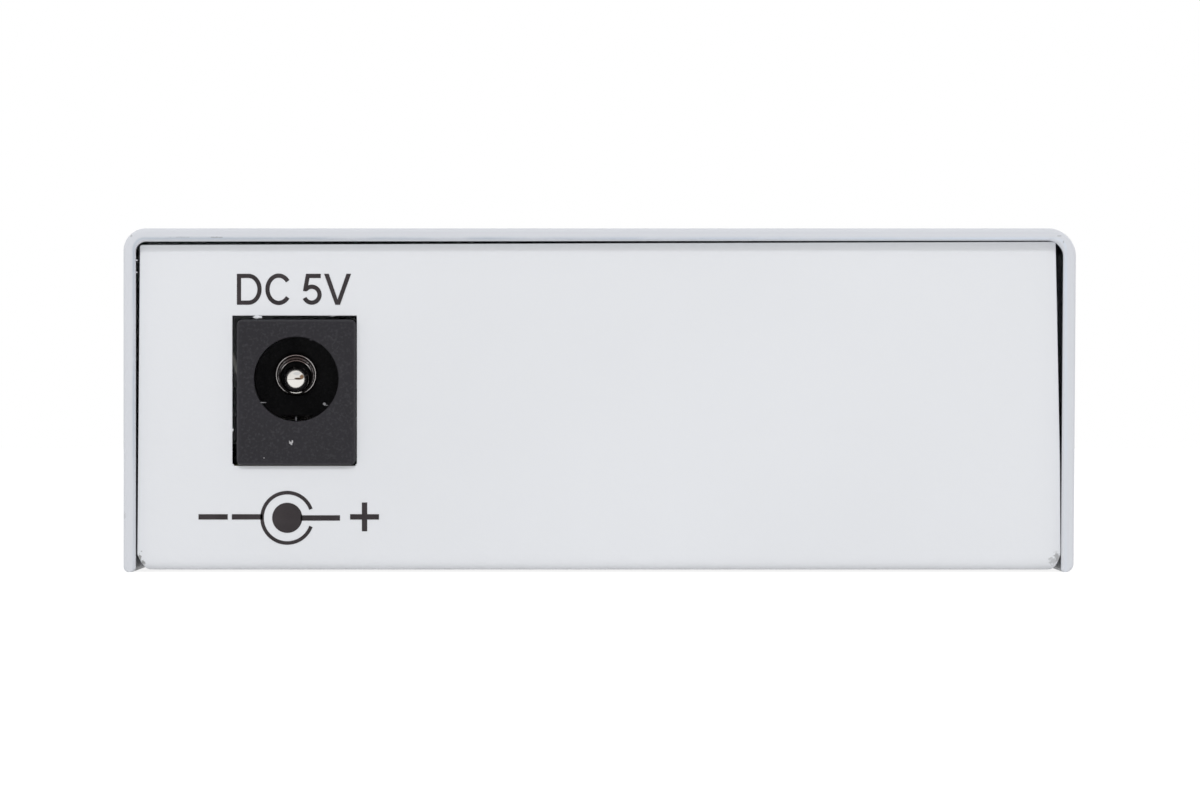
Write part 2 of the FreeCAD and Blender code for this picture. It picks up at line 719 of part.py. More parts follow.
def board_standoffs():
    """Four hexagonal standoffs, their feet clinched into the tray's floor."""
    piece = Piece("board_standoffs", z=floor_top)
    where = (board_hole_x, f"-{board_hole_rear}")
    base = piece.draw("standoff_hexagon", "XY_Plane", (*where, "0"))
    base.hexagon("standoff_flats")
    post = piece.pad("standoff_post", base, "standoff_height")
    sole = piece.draw("standoff_foot", "XY_Plane", (*where, "0"))
    sole.hexagon("standoff_foot_flats")
    foot = piece.pad("clinched_foot", sole, "tray_sheet", Reversed=True)
    tap = piece.draw("standoff_tap", "XY_Plane", ("0", "0", "standoff_height"))
    tap.circle(*where, "screw_hole_radius")
    bore = piece.pocket("standoff_bore", tap, "standoff_height + tray_sheet")
    piece.repeat("standoffs", [post, foot, bore], ("Y_Axis", board_hole_spacing, "2"), "YZ_Plane")
    return piece.body


def power_inlet_housing():
    """Moulded barrel socket: square collar, round-topped barrel, bore, and a slot for the spring."""
    piece = Piece("power_inlet_housing", f"-{inlet_x}", inlet_face, board_top)
    collar = piece.draw("inlet_collar_outline", "XZ_Plane")
    collar.rectangle("-inlet_width / 2", "0", "inlet_width / 2", "inlet_height")
    piece.pad("inlet_collar", collar, "inlet_collar_depth", Reversed=True)
    piece.soften("inlet_face_rounding", "inlet_rounding", lies_at(y="0"))
    rear = ("0", "0", "-inlet_collar_depth")
    base = piece.draw("inlet_barrel_base", "XZ_Plane", rear)
    base.rectangle("-inlet_barrel_width / 2", "0", "inlet_barrel_width / 2", "inlet_axis_height")
    piece.pad("inlet_lower_barrel", base, "inlet_depth - inlet_collar_depth", Reversed=True)
    barrel = piece.draw("inlet_barrel_top", "XZ_Plane", rear)
    barrel.circle("0", "inlet_axis_height", "inlet_barrel_width / 2")
    piece.pad("inlet_upper_barrel", barrel, "inlet_depth - inlet_collar_depth", Reversed=True)
    mouth = piece.draw("inlet_mouth", "XZ_Plane")
    mouth.circle("0", "inlet_axis_height", "inlet_bore_radius")
    piece.pocket("inlet_bore", mouth, "inlet_bore_depth")
    slot = piece.draw("spring_slot_outline", "XY_Plane")
    across = "(strip_width / 2 + spring_slot_play)"
    slot.rectangle(f"-{across}", "spring_slot_front", across, "spring_slot_rear")
    piece.pocket("spring_slot", slot, "inlet_axis_height - spring_reach / 2", Reversed=True)
    stem = piece.draw("stem_outline", "XZ_Plane", ("0", "0", "-inlet_bore_depth"))
    stem.circle("0", "inlet_axis_height", "centre_pin_stem + stem_play")
    piece.pocket("stem_hole", stem, "inlet_depth - inlet_bore_depth")
    return piece.body


def power_inlet_centre_pin():
    """Domed pin on the inlet's axis, its stem staked behind the housing to a terminal strip."""
    piece = Piece("power_inlet_centre_pin", f"-{inlet_x}", inlet_face, board_top)
    stem_end = "inlet_depth + 2 * strip_thickness"
    half = piece.draw("centre_pin_section", "YZ_Plane", ("0", "inlet_axis_height", "0"))
    half.outline(
        ("centre_pin_depth", "0"),
        (stem_end, "0"),
        (stem_end, "centre_pin_stem"),
        ("inlet_bore_depth - eyelet_length", "centre_pin_stem"),
        ("inlet_bore_depth - eyelet_length", "centre_pin_radius"),
        ("centre_pin_depth + centre_pin_radius", "centre_pin_radius", "centre_pin_radius", 1),
    )
    piece.revolve("centre_pin", half, "H_Axis")
    strip = piece.draw("centre_terminal_outline", "XZ_Plane", ("0", "0", "-inlet_depth"))
    strip.rectangle("-strip_width / 2", f"-{tail_drop}", "strip_width / 2", "inlet_axis_height + strip_top")
    piece.pad("centre_terminal", strip, "strip_thickness", Reversed=True)
    return piece.body


def power_inlet_eyelet():
    """Short tube round the foot of the centre pin, seated on the bore's end wall."""
    piece = Piece("power_inlet_eyelet", f"-{inlet_x}", inlet_face, board_top)
    ring = piece.draw("eyelet_outline", "XZ_Plane", ("0", "0", "-inlet_bore_depth"))
    for radius in ("eyelet_radius", "eyelet_radius - eyelet_wall"):
        ring.circle("0", "inlet_axis_height + eyelet_rise", radius)
    piece.pad("eyelet", ring, "eyelet_length")
    return piece.body


def power_inlet_spring():
    """Bent strip that presses on the plug's sleeve: a tail below the board, and a bulge in the bore."""
    piece = Piece("power_inlet_spring", f"-{inlet_x}", inlet_face, board_top)
    knee = "inlet_axis_height - inlet_bore_radius - spring_drop"
    bulge = "inlet_axis_height - spring_reach"
    tip = "inlet_axis_height - inlet_bore_radius"
    side = piece.draw("spring_side", "YZ_Plane")
    side.outline(
        ("spring_slot_rear", f"-{tail_drop}"),
        ("spring_slot_rear", knee),
        ("spring_slot_front + spring_bulge", bulge),
        ("spring_slot_front + spring_slot_play", tip),
        ("spring_slot_front + spring_slot_play", f"{tip} - strip_thickness"),
        ("spring_slot_front + spring_bulge", f"{bulge} - strip_thickness"),
        ("spring_slot_rear - strip_thickness", f"{knee} - strip_thickness"),
        ("spring_slot_rear - strip_thickness", f"-{tail_drop}"),
    )
    piece.pad("sleeve_spring", side, "strip_width", Midplane=True)
    return piece.body


def power_inlet_switch_contact():
    """Upright terminal strip on the side of the barrel, with its top bent over."""
    piece = Piece("power_inlet_switch_contact", f"-{inlet_x}", inlet_face, board_top)
    near_side = "inlet_barrel_width / 2"
    strip = piece.draw("switch_contact_section", "XZ_Plane", ("0", "0", "-switch_contact_y"))
    strip.outline(
        (f"-{near_side}", f"-{tail_drop}"),
        (f"-{near_side}", "inlet_axis_height"),
        (f"-{near_side} - strip_thickness * 2", "inlet_axis_height + strip_top"),
        (f"-{near_side} - strip_thickness * 3", "inlet_axis_height + strip_top"),
        (f"-{near_side} - strip_thickness", "inlet_axis_height"),
        (f"-{near_side} - strip_thickness", f"-{tail_drop}"),
    )
    piece.pad("switch_contact", strip, "strip_width", Reversed=True)
    return piece.body


def plug_opening(drawing):
    """Outline of the opening for a network plug: wide above, with steps for its latch below."""
    steps = [("plug_width", "plug_top"), ("plug_width", "plug_bottom"), ("latch_width", "plug_bottom"),
             ("latch_width", "latch_bottom"), ("key_width", "latch_bottom"), ("key_width", "key_bottom")]
    right = [(f"{width} / 2", height) for width, height in steps]
    left = [(f"-{width}", height) for width, height in reversed(right)]
    drawing.outline(*right, *left)


def network_socket_shield():
    """Thin sheet box round the network socket, open below, with two tabs into the board."""
    piece = Piece("network_socket_shield", f"-{socket_x}", socket_face, board_top)
    outer = piece.draw("shield_outline", "XZ_Plane")
    outer.rectangle("-socket_width / 2", "0", "socket_width / 2", "socket_height")
    piece.pad("shield_box", outer, "socket_depth")
    inner = piece.draw("shield_inside", "XY_Plane")
    across = "(socket_width / 2 - shield_sheet)"
    inner.rectangle(f"-{across}", "shield_sheet - socket_depth", across, "-shield_sheet")
    piece.pocket("shield_hollow", inner, "socket_height - shield_sheet", Reversed=True)
    window = piece.draw("shield_window", "XZ_Plane")
    plug_opening(window)
    piece.pocket("shield_opening", window, "shield_sheet", Reversed=True)
    tab = piece.draw("shield_tab_outline", "YZ_Plane", ("0", "0", across))
    tab.rectangle("-shield_tab_y - shield_tab_width / 2", f"-{tail_drop}",
                  "-shield_tab_y + shield_tab_width / 2", "0")
    first = piece.pad("shield_tab", tab, "shield_sheet")
    piece.repeat("shield_tabs", [first], "YZ_Plane")
    return piece.body


def network_socket_insert():
    """Moulded insert with the plug's cavity, a groove for the contacts and two pegs."""
    piece = Piece("network_socket_insert", f"-{socket_x}", f"{socket_face} - shield_sheet", board_top)
    across = "(socket_width / 2 - shield_sheet - insert_play)"
    block = piece.draw("insert_outline", "XZ_Plane")
    block.rectangle(f"-{across}", "0", across, "socket_height - shield_sheet - insert_play")
    piece.pad("insert_block", block, "insert_depth")
    opening = piece.draw("insert_opening", "XZ_Plane")
    plug_opening(opening)
    piece.pocket("plug_cavity", opening, "plug_depth", Reversed=True)
    start = ("0", "0", "contact_front - contact_thickness")
    groove = piece.draw("contact_groove_outline", "XZ_Plane", start)
    reach = "(contact_count * contact_pitch / 2)"
    groove.rectangle(f"-{reach}", "plug_top - contact_groove", reach, "plug_top + contact_groove")
    piece.pocket("contact_groove_cut", groove, "insert_depth", Reversed=True)
    peg = piece.draw("insert_peg_outline", "XY_Plane")
    peg.square("insert_peg_x", "-insert_peg_y", "insert_peg")
    first = piece.pad("insert_peg_pad", peg, tail_drop, Reversed=True)
    piece.repeat("insert_pegs", [first], "YZ_Plane")
    return piece.body


def network_socket_contacts():
    """Eight spring wires that run along the roof groove and turn down behind the insert."""
    piece = Piece("network_socket_contacts", f"-{socket_x}", socket_face, board_top)
    roof = "(plug_top + contact_groove)"
    first_x = "-(contact_count - 1) * contact_pitch / 2"
    side = piece.draw("contact_side", "YZ_Plane", ("0", "0", first_x))
    side.outline(
        ("-contact_rear", f"-{tail_drop}"),
        ("-contact_rear", roof),
        ("-contact_front", roof),
        ("-contact_tip_y", f"{roof} - contact_tip_drop"),
        ("-contact_tip_y", f"{roof} - contact_tip_drop + contact_thickness"),
        ("-contact_front - 4 * contact_thickness", f"{roof} - contact_thickness"),
        ("contact_thickness - contact_rear", f"{roof} - contact_thickness"),
        ("contact_thickness - contact_rear", f"-{tail_drop}"),
    )
    wire = piece.pad("first_contact", side, "contact_width", Midplane=True)
    piece.repeat("contacts", [wire], ("X_Axis", "(contact_count - 1) * contact_pitch", "contact_count"))
    return piece.body


def fibre_port(drawing, x):
    """Outline of a fibre port with the key slot in its roof."""
    roof = "port_floor + port_height"
    drawing.outline(
        (f"{x} - port_width / 2", "port_floor"),
        (f"{x} + port_width / 2", "port_floor"),
        (f"{x} + port_width / 2", roof),
        (f"{x} + key_slot_width / 2", roof),
        (f"{x} + key_slot_width / 2", f"{roof} + key_slot_height"),
        (f"{x} - key_slot_width / 2", f"{roof} + key_slot_height"),
        (f"{x} - key_slot_width / 2", roof),
        (f"{x} - port_width / 2", roof),
    )


def fibre_transceiver_housing():
    """Moulded housing: two keyed ports, a wall that holds the sleeves, and a chamber open below."""
    piece = Piece("fibre_transceiver_housing", fibre_x, fibre_face, board_top)
    outer = piece.draw("fibre_housing_outline", "XZ_Plane")
    outer.rectangle("-fibre_width / 2", "0", "fibre_width / 2", "fibre_height")
    piece.pad("fibre_housing_block", outer, "fibre_length")
    top_edges = lies_at(x="fibre_width / 2", z="fibre_height")
    piece.soften("fibre_housing_edges", "fibre_edge", top_edges, "Chamfer")
    chamber = piece.draw("chamber_outline", "XY_Plane")
    across = "(fibre_width / 2 - chamber_wall)"
    chamber.rectangle(f"-{across}", "chamber_wall - fibre_length", across, f"-{port_rear}")
    piece.pocket("chamber", chamber, "fibre_height - chamber_wall", Reversed=True)
    port = piece.draw("port_outline", "XZ_Plane")
    fibre_port(port, f"{fibre_pitch} / 2")
    first_port = piece.pocket("first_port", port, "port_depth", Reversed=True)
    seat = piece.draw("sleeve_seat_outline", "XZ_Plane", ("0", "0", "port_depth"))
    seat.circle(f"{fibre_pitch} / 2", port_middle, "sleeve_radius + sleeve_play")
    first_seat = piece.pocket("first_sleeve_seat", seat, "port_wall", Reversed=True)
    post = piece.draw("post_outline", "XY_Plane")
    post.square(post_x, "-post_y", "post_side")
    first_post = piece.pad("first_post", post, tail_drop, Reversed=True)
    piece.repeat("both_ports", [first_port, first_seat, first_post], "YZ_Plane")
    return piece.body


def fibre_sleeves():
    """Two alignment sleeves that take the plugs' ferrules."""
    piece = Piece("fibre_sleeves", fibre_x, fibre_face, board_top)
    ring = piece.draw("sleeve_outline", "XZ_Plane", ("0", "0", "sleeve_front"))
    for radius in ("sleeve_radius", "ferrule_bore_radius"):
        ring.circle(f"{fibre_pitch} / 2", port_middle, radius)
    first = piece.pad("first_sleeve", ring, f"{sleeve_rear} - sleeve_front")
    piece.repeat("sleeves", [first], "YZ_Plane")
    return piece.body


def fibre_latch_clips():
    """Two moulded clips: a plate on the port's rear wall, and two hooked arms beside the sleeve."""
    piece = Piece("fibre_latch_clips", fibre_x, fibre_face, board_top)
    middle = f"{fibre_pitch} / 2"
    front = "(clip_plate - port_depth)"
    plate = piece.draw("clip_plate_outline", "XZ_Plane", ("0", "0", f"-{front}"))
    plate.rectangle(f"{middle} - clip_half", f"{port_middle} - clip_height / 2",
                    f"{middle} + clip_half", f"{port_middle} + clip_height / 2")
    base = piece.pad("clip_plate_block", plate, "clip_plate")
    bore = piece.draw("clip_bore_outline", "XZ_Plane", ("0", "0", f"-{front}"))
    bore.square(middle, port_middle, "2 * (sleeve_radius + sleeve_play)")
    hole = piece.pocket("clip_bore", bore, "clip_plate", Reversed=True)
    arms = piece.draw("clip_arms_outline", "XY_Plane", (middle, "0", port_middle))
    for side in ("", "-"):
        arms.outline(
            (f"{side}clip_half", front),
            (f"{side}clip_half", "-sleeve_front"),
            (f"{side}(clip_half - clip_arm - clip_hook)", "-sleeve_front"),
            (f"{side}(clip_half - clip_arm - clip_hook)", "-sleeve_front - clip_hook_length"),
            (f"{side}(clip_half - clip_arm)", "-sleeve_front - clip_hook_length"),
            (f"{side}(clip_half - clip_arm)", front),
        )
    pair = piece.pad("clip_arms", arms, "clip_width", Midplane=True)
    piece.repeat("clips", [base, hole, pair], "YZ_Plane")
    return piece.body


def optical_can(label, side):
    """Metal can behind a sleeve, with three leads that lie on the small board."""
    middle = f"{fibre_x} + ({side}) * {fibre_pitch} / 2"
    piece = Piece(label, middle, f"{fibre_face} - {sleeve_rear}", board_top)
    ring = piece.draw(f"{label}_outline", "XZ_Plane")
    ring.circle("0", port_middle, "can_radius")
    piece.pad(f"{label}_case", ring, "can_length")
    lead = piece.draw(f"{label}_lead_outline", "XZ_Plane", ("0", "0", "can_length"))
    lead.square("-can_lead_pitch", port_middle, "can_lead")
    first = piece.pad(f"{label}_lead", lead, "can_lead_length")
    piece.repeat(f"{label}_leads", [first], ("X_Axis", "2 * can_lead_pitch", "3"))
    return piece.body


def transceiver_board():
    """Small board in the transceiver's chamber."""
    piece = Piece("transceiver_board", fibre_x, fibre_face, board_top)
    across = "(fibre_width / 2 - chamber_wall - daughter_play)"
    plate = piece.draw("transceiver_board_outline", "XY_Plane", ("0", "0", daughter_bottom))
    rear = "chamber_wall + daughter_play - fibre_length"
    plate.rectangle(f"-{across}", rear, across, f"-{daughter_front}")
    piece.pad("transceiver_board_plate", plate, "daughter_thickness")
    return piece.body


def transceiver_pins():
    """Row of nine square pins from the small board down through the main board."""
    piece = Piece("transceiver_pins", fibre_x, f"{fibre_face} - fibre_length + fibre_pin_y", board_top)
    row = f"(fibre_pin_count - 1) * {pin_pitch}"
    pin = piece.draw("transceiver_pin_outline", "XY_Plane", ("0", "0", f"-{tail_drop}"))
    pin.square(f"-{row} / 2", "0", "pin_side")
    first = piece.pad("transceiver_pin", pin, f"{tail_drop} + {daughter_bottom}")
    piece.repeat("transceiver_pin_row", [first], ("X_Axis", row, "fibre_pin_count"))
    return piece.body


def status_lamps():
    """Six oblong lamp lenses that look out through the end panel."""
    piece = Piece("status_lamps", f"{lamp_x} - lamp_pitch", holder_front, f"{board_top} + lamp_low")
    lens = piece.draw("lamp_outline", "XZ_Plane")
    lens.rectangle("-lamp_width / 2", "-lamp_height / 2", "lamp_width / 2", "lamp_height / 2")
    tip = "(holder_gap + tray_sheet + lamp_proud)"
    first = piece.pad("first_lamp", lens, tip, Reversed=True)
    edge = piece.soften("lamp_tip", "lamp_edge", lies_at(y=tip), "Chamfer")
    piece.repeat("lamps", [first, edge], ("X_Axis", "2 * lamp_pitch", "3"), ("Z_Axis", "lamp_rows", "2"))
    return piece.body


def lamp_holder():
    """Moulded block that carries the lamps at the board's edge, with two square pegs."""
    piece = Piece("lamp_holder", lamp_x, holder_front, board_top)
    block = piece.draw("holder_outline", "XZ_Plane")
    block.rectangle(f"-{holder_half}", "0", holder_half, "lamp_low + lamp_rows + holder_rim")
    piece.pad("holder_block", block, "holder_depth")
    upper = lies_at(z="lamp_low + lamp_rows + holder_rim")
    piece.soften("holder_edges", "holder_edge", upper, "Chamfer")
    peg = piece.draw("holder_peg_outline", "XY_Plane")
    peg.square("holder_peg_x", "-holder_depth / 2", "holder_peg")
    first = piece.pad("holder_peg", peg, tail_drop, Reversed=True)
    piece.repeat("holder_pegs", [first], "YZ_Plane")
    return piece.body


def converter_chip():
    """Square moulded package that turns the network signals into the transceiver's."""
    piece = Piece("converter_chip", "chip_x", "chip_y", board_top)
    shape = piece.draw("chip_outline", "XY_Plane", ("0", "0", "lead_thickness"))
    shape.square("0", "0", "chip_side")
    piece.pad("chip_package", shape, "chip_height")
    upper = lies_at(z="lead_thickness + chip_height")
    piece.soften("chip_edges", "chip_edge", upper, "Chamfer")
    return piece.body


def converter_chip_leads():
    """Bent leads on the chip's four sides."""
    piece = Piece("converter_chip_leads", "chip_x", "chip_y", board_top)
    row = "(chip_leads - 1) * chip_lead_pitch"
    side = piece.draw("chip_lead_side", "XZ_Plane", ("0", "0", f"{row} / 2"))
    side.gull_wing("chip_side / 2", "lead_thickness + chip_height / 2", "lead_reach", "lead_thickness")
    lead = piece.pad("first_chip_lead", side, "lead_width", Midplane=True)
    piece.repeat("chip_leads_round", [lead], ("Y_Axis", row, "chip_leads"), ("Z_Axis", "4"))
    return piece.body


def network_transformer():
    """Moulded block that isolates the network pairs."""
    piece = Piece("network_transformer", transformer_x, transformer_y, board_top)
    block = piece.draw("transformer_outline", "XY_Plane", ("0", "0", "lead_thickness"))
    half_x, half_y = "transformer_width / 2", "transformer_length / 2"
    block.rectangle(f"-{half_x}", f"-{half_y}", half_x, half_y)
    piece.pad("transformer_block", block, "transformer_height")
    upper = lies_at(z="lead_thickness + transformer_height")
    piece.soften("transformer_edges", "transformer_edge", upper, "Chamfer")
    return piece.body


def network_transformer_leads():
    """Bent leads along the transformer's two long sides."""
    piece = Piece("network_transformer_leads", transformer_x, transformer_y, board_top)
    row = "(transformer_leads - 1) * transformer_lead_pitch"
    side = piece.draw("transformer_lead_side", "YZ_Plane", ("0", "0", f"-{row} / 2"))
    top = "lead_thickness + transformer_height / 4"
    side.gull_wing("transformer_length / 2", top, "lead_reach", "lead_thickness")
    lead = piece.pad("first_transformer_lead", side, "transformer_lead_width", Midplane=True)
    piece.repeat("transformer_lead_rows", [lead], ("X_Axis", row, "transformer_leads"), "XZ_Plane")
    return piece.body


def regulator():
    """Small moulded voltage regulator."""
    piece = Piece("regulator", "regulator_x", regulator_y, board_top)
    block = piece.draw("regulator_outline", "XY_Plane", ("0", "0", "lead_thickness / 2"))
    half_x, half_y = "regulator_width / 2", "regulator_length / 2"
    block.rectangle(f"-{half_x}", f"-{half_y}", half_x, half_y)
    piece.pad("regulator_block", block, "regulator_height")
    upper = lies_at(z="lead_thickness / 2 + regulator_height")
    piece.soften("regulator_edges", "chip_edge", upper, "Chamfer")
    return piece.body


def regulator_leads():
    """The regulator's three leads, and its wide tab on the other side."""
    piece = Piece("regulator_leads", "regulator_x", regulator_y, board_top)
    top = "lead_thickness / 2 + regulator_height / 2"
    side = piece.draw("regulator_lead_side", "YZ_Plane", ("0", "0", "-regulator_lead_pitch"))
    side.gull_wing("regulator_length / 2", top, "lead_reach", "lead_thickness")
    lead = piece.pad("first_regulator_lead", side, "regulator_lead_width", Midplane=True)
    piece.repeat("regulator_lead_row", [lead], ("X_Axis", "2 * regulator_lead_pitch", "3"))
    tab = piece.draw("regulator_tab_side", "YZ_Plane")
    tab.gull_wing("regulator_length / 2", top, "lead_reach", "lead_thickness")
    wide = piece.pad("regulator_tab_other_side", tab, "regulator_tab_width", Midplane=True)
    piece.repeat("regulator_tab", [wide], "XZ_Plane")
    return piece.body


def inductor():
    """Moulded power inductor with cut corners."""
    piece = Piece("inductor", "inductor_x", inductor_y, f"{board_top} + lead_thickness")
    block = piece.draw("inductor_outline", "XY_Plane")
    block.square("0", "0", "inductor_side")
    piece.pad("inductor_block", block, "inductor_height")
    upright = lies_at(x="inductor_side / 2", y="inductor_side / 2")
    piece.soften("inductor_corners", "inductor_corner", upright, "Chamfer")
    return piece.body


def inductor_terminals():
    """Two flat terminals that come out from under the inductor and fold up its sides."""
    piece = Piece("inductor_terminals", "inductor_x", inductor_y, board_top)
    side = piece.draw("terminal_side", "XZ_Plane")
    half = "inductor_side / 2"
    side.outline(
        (f"{half} - terminal_reach", "0"),
        (f"{half} + lead_thickness", "0"),
        (f"{half} + lead_thickness", "lead_thickness + inductor_height / 2"),
        (half, "lead_thickness + inductor_height / 2"),
        (half, "lead_thickness"),
        (f"{half} - terminal_reach", "lead_thickness"),
    )
    first = piece.pad("first_terminal", side, "terminal_width", Midplane=True)
    piece.repeat("terminals", [first], "YZ_Plane")
    return piece.body


def capacitor_bases():
    """Square moulded bases under the two electrolytic cans, with two cut corners each."""
    piece = Piece("capacitor_bases", capacitor_x, capacitor_y, board_top)
    half = "capacitor_base_side / 2"
    base = piece.draw("capacitor_base_outline", "XY_Plane")
    base.outline(
        (f"-{half}", f"-{half}"),
        (half, f"-{half}"),
        (half, f"{half} - capacitor_base_corner"),
        (f"{half} - capacitor_base_corner", half),
        (f"capacitor_base_corner - {half}", half),
        (f"-{half}", f"{half} - capacitor_base_corner"),
    )
    first = piece.pad("first_capacitor_base", base, "capacitor_base")
    piece.repeat("capacitor_base_pair", [first], ("X_Axis", "capacitor_pitch", "2"))
    return piece.body


def capacitor_cans():
    """Two round aluminium cans."""
    piece = Piece("capacitor_cans", capacitor_x, capacitor_y, f"{board_top} + capacitor_base")
    ring = piece.draw("capacitor_outline", "XY_Plane")
    ring.circle("0", "0", "capacitor_radius")
    first = piece.pad("first_capacitor_can", ring, "capacitor_height - capacitor_base")
    piece.repeat("capacitor_can_pair", [first], ("X_Axis", "capacitor_pitch", "2"))
    return piece.body


def crystal():
    """Oblong metal can with round ends."""
    piece = Piece("crystal", "crystal_x", "crystal_y", board_top)
    shape = piece.draw("crystal_outline", "XY_Plane")
    shape.slot("0", "0", "crystal_length", "crystal_width / 2")
    piece.pad("crystal_can", shape, "crystal_height")
    return piece.body


def chip_row(label, x, y, height):
    """Row of small oblong parts on the board."""
    piece = Piece(label, x, y, board_top)
    shape = piece.draw(f"{label}_outline", "XY_Plane")
    shape.rectangle("-passive_width / 2", "-passive_length / 2", "passive_width / 2", "passive_length / 2")
    first = piece.pad(f"{label}_first", shape, height)
    piece.repeat(f"{label}_row", [first], ("X_Axis", "(passive_count - 1) * passive_pitch", "passive_count"))
    return piece.body


def board_slots(piece):
    """Slots for the power inlet's three terminals and the network socket's two shield tabs."""
    wide, thin = "(strip_width / 2 + hole_play)", "(strip_thickness / 2 + hole_play)"
    tab_long, tab_thin = "(shield_tab_width / 2 + hole_play)", "(shield_sheet / 2 + hole_play)"
    tab_x = "(socket_width / 2 - shield_sheet / 2)"
    places = [
        (f"-{inlet_x}", f"{inlet_face} + {strip_middle_y}", wide, thin),
        (f"-{inlet_x}", f"{inlet_face} + inlet_depth + strip_thickness / 2", wide, thin),
        (f"-{inlet_x} - inlet_barrel_width / 2 - strip_thickness / 2",
         f"{inlet_face} + switch_contact_y + strip_width / 2", thin, wide),
        (f"-{socket_x} - {tab_x}", f"{socket_face} - shield_tab_y", tab_thin, tab_long),
        (f"-{socket_x} + {tab_x}", f"{socket_face} - shield_tab_y", tab_thin, tab_long),
    ]
    slots = piece.draw("terminal_slots", "XY_Plane", ("0", "0", "board_thickness"))
    for x, y, half_x, half_y in places:
        slots.rectangle(f"{x} - {half_x}", f"{y} - {half_y}", f"{x} + {half_x}", f"{y} + {half_y}")
    piece.pocket("terminal_slots_cut", slots, "board_thickness")


def circuit_board():
    """Main board, with the holes and slots that its screws, pins, pegs and tabs pass through."""
    piece = Piece("circuit_board", z=board_bottom)
    half_x, half_y = f"{board_width} / 2", f"{board_length} / 2"
    plate = piece.draw("board_outline", "XY_Plane")
    plate.rectangle(f"-{half_x}", f"-{half_y}", half_x, half_y)
    piece.pad("board_plate", plate, "board_thickness")
    piece.soften("board_corners", "board_corner", lies_at(x=half_x, y=half_y))
    board_slots(piece)
    top = ("0", "0", "board_thickness")
    holes = piece.draw("board_holes", "XY_Plane", top)
    for side in ("-", ""):
        holes.circle(f"{side}{board_hole_x}", board_hole_front, "board_hole_radius")
        holes.circle(f"{side}{board_hole_x}", f"-{board_hole_rear}", "board_hole_radius")
        holes.square(f"{fibre_x} + {side}{post_x}", f"{fibre_face} - post_y", "(post_side + 2 * hole_play)")
        holes.square(f"-{socket_x} + {side}insert_peg_x",
                     f"{socket_face} - shield_sheet - insert_peg_y", "(insert_peg + 2 * hole_play)")
        holes.square(f"{lamp_x} + {side}holder_peg_x", f"{holder_front} - holder_depth / 2",
                     "(holder_peg + 2 * hole_play)")
    piece.pocket("board_holes_cut", holes, "board_thickness")
    contact = piece.draw("contact_hole_outline", "XY_Plane", top)
    contact_row = "(contact_count - 1) * contact_pitch"
    contact.square(f"-{socket_x} - {contact_row} / 2",
                   f"{socket_face} - contact_rear + contact_thickness / 2",
                   "(contact_width + 2 * hole_play)")
    first = piece.pocket("first_contact_hole", contact, "board_thickness")
    piece.repeat("contact_holes", [first], ("X_Axis", contact_row, "contact_count"))
    pin = piece.draw("pin_hole_outline", "XY_Plane", top)
    pin_row = f"(fibre_pin_count - 1) * {pin_pitch}"
    pin.square(f"{fibre_x} - {pin_row} / 2", f"{fibre_face} - fibre_length + fibre_pin_y",
               "(pin_side + 2 * hole_play)")
    first = piece.pocket("first_pin_hole", pin, "board_thickness")
    piece.repeat("pin_holes", [first], ("X_Axis", pin_row, "fibre_pin_count"))
    return piece.body


def build():
    return [
        cover(),
        base_tray(),
        cover_screws(),
        board_standoffs(),
        board_screws(),
        circuit_board(),
        power_inlet_housing(),
        power_inlet_centre_pin(),
        power_inlet_eyelet(),
        power_inlet_spring(),
        power_inlet_switch_contact(),
        network_socket_shield(),
        network_socket_insert(),
        network_socket_contacts(),
        network_transformer(),
        network_transformer_leads(),
        fibre_transceiver_housing(),
        fibre_sleeves(),
        fibre_latch_clips(),
        optical_can("laser_can", "1"),
        optical_can("photodiode_can", "-1"),
        transceiver_board(),
        transceiver_pins(),
        status_lamps(),
        lamp_holder(),
        converter_chip(),
        converter_chip_leads(),
        regulator(),
        regulator_leads(),
        inductor(),
        inductor_terminals(),
        capacitor_bases(),
        capacitor_cans(),
        crystal(),
        chip_row("chip_resistors", "resistor_x", "resistor_y", "resistor_height"),
        chip_row("chip_capacitors", "ceramic_x", "ceramic_y", "ceramic_height"),
    ]


def check(bodies):
    for item in doc.Objects:
        if any(state in ("Invalid", "Error") for state in item.State):
            raise RuntimeError(f"{item.Name} failed")
    for body in bodies:
        if body.Shape.isNull() or not body.Shape.isValid() or not body.Shape.Solids:
            raise RuntimeError(f"{body.Label}: its shape is not a valid solid")


bodies = build()
doc.recompute()
check(bodies)
os.makedirs("parts", exist_ok=True)
for body in bodies:
    body.Shape.exportStep(f"parts/{body.Label}.step")
    print(body.Label, len(body.Shape.Solids), round(body.Shape.Volume, 2))
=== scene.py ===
import math

import bmesh
import bpy
from mathutils import Matrix, Vector


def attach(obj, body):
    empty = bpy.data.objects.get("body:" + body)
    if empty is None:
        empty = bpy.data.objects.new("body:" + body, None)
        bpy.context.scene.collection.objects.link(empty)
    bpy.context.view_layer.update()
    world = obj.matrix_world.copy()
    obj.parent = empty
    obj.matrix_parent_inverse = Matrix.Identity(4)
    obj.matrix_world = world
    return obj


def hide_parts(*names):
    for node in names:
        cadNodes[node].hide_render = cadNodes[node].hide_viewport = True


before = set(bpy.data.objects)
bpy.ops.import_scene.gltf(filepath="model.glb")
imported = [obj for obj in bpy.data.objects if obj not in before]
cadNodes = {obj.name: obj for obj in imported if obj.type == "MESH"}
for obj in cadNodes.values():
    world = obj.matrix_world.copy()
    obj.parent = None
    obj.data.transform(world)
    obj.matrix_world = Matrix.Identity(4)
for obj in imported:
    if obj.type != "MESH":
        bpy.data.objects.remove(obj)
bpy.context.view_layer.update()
mm = 0.001
print("frame loaded:", len(cadNodes), "nodes")


# Objects and meshes

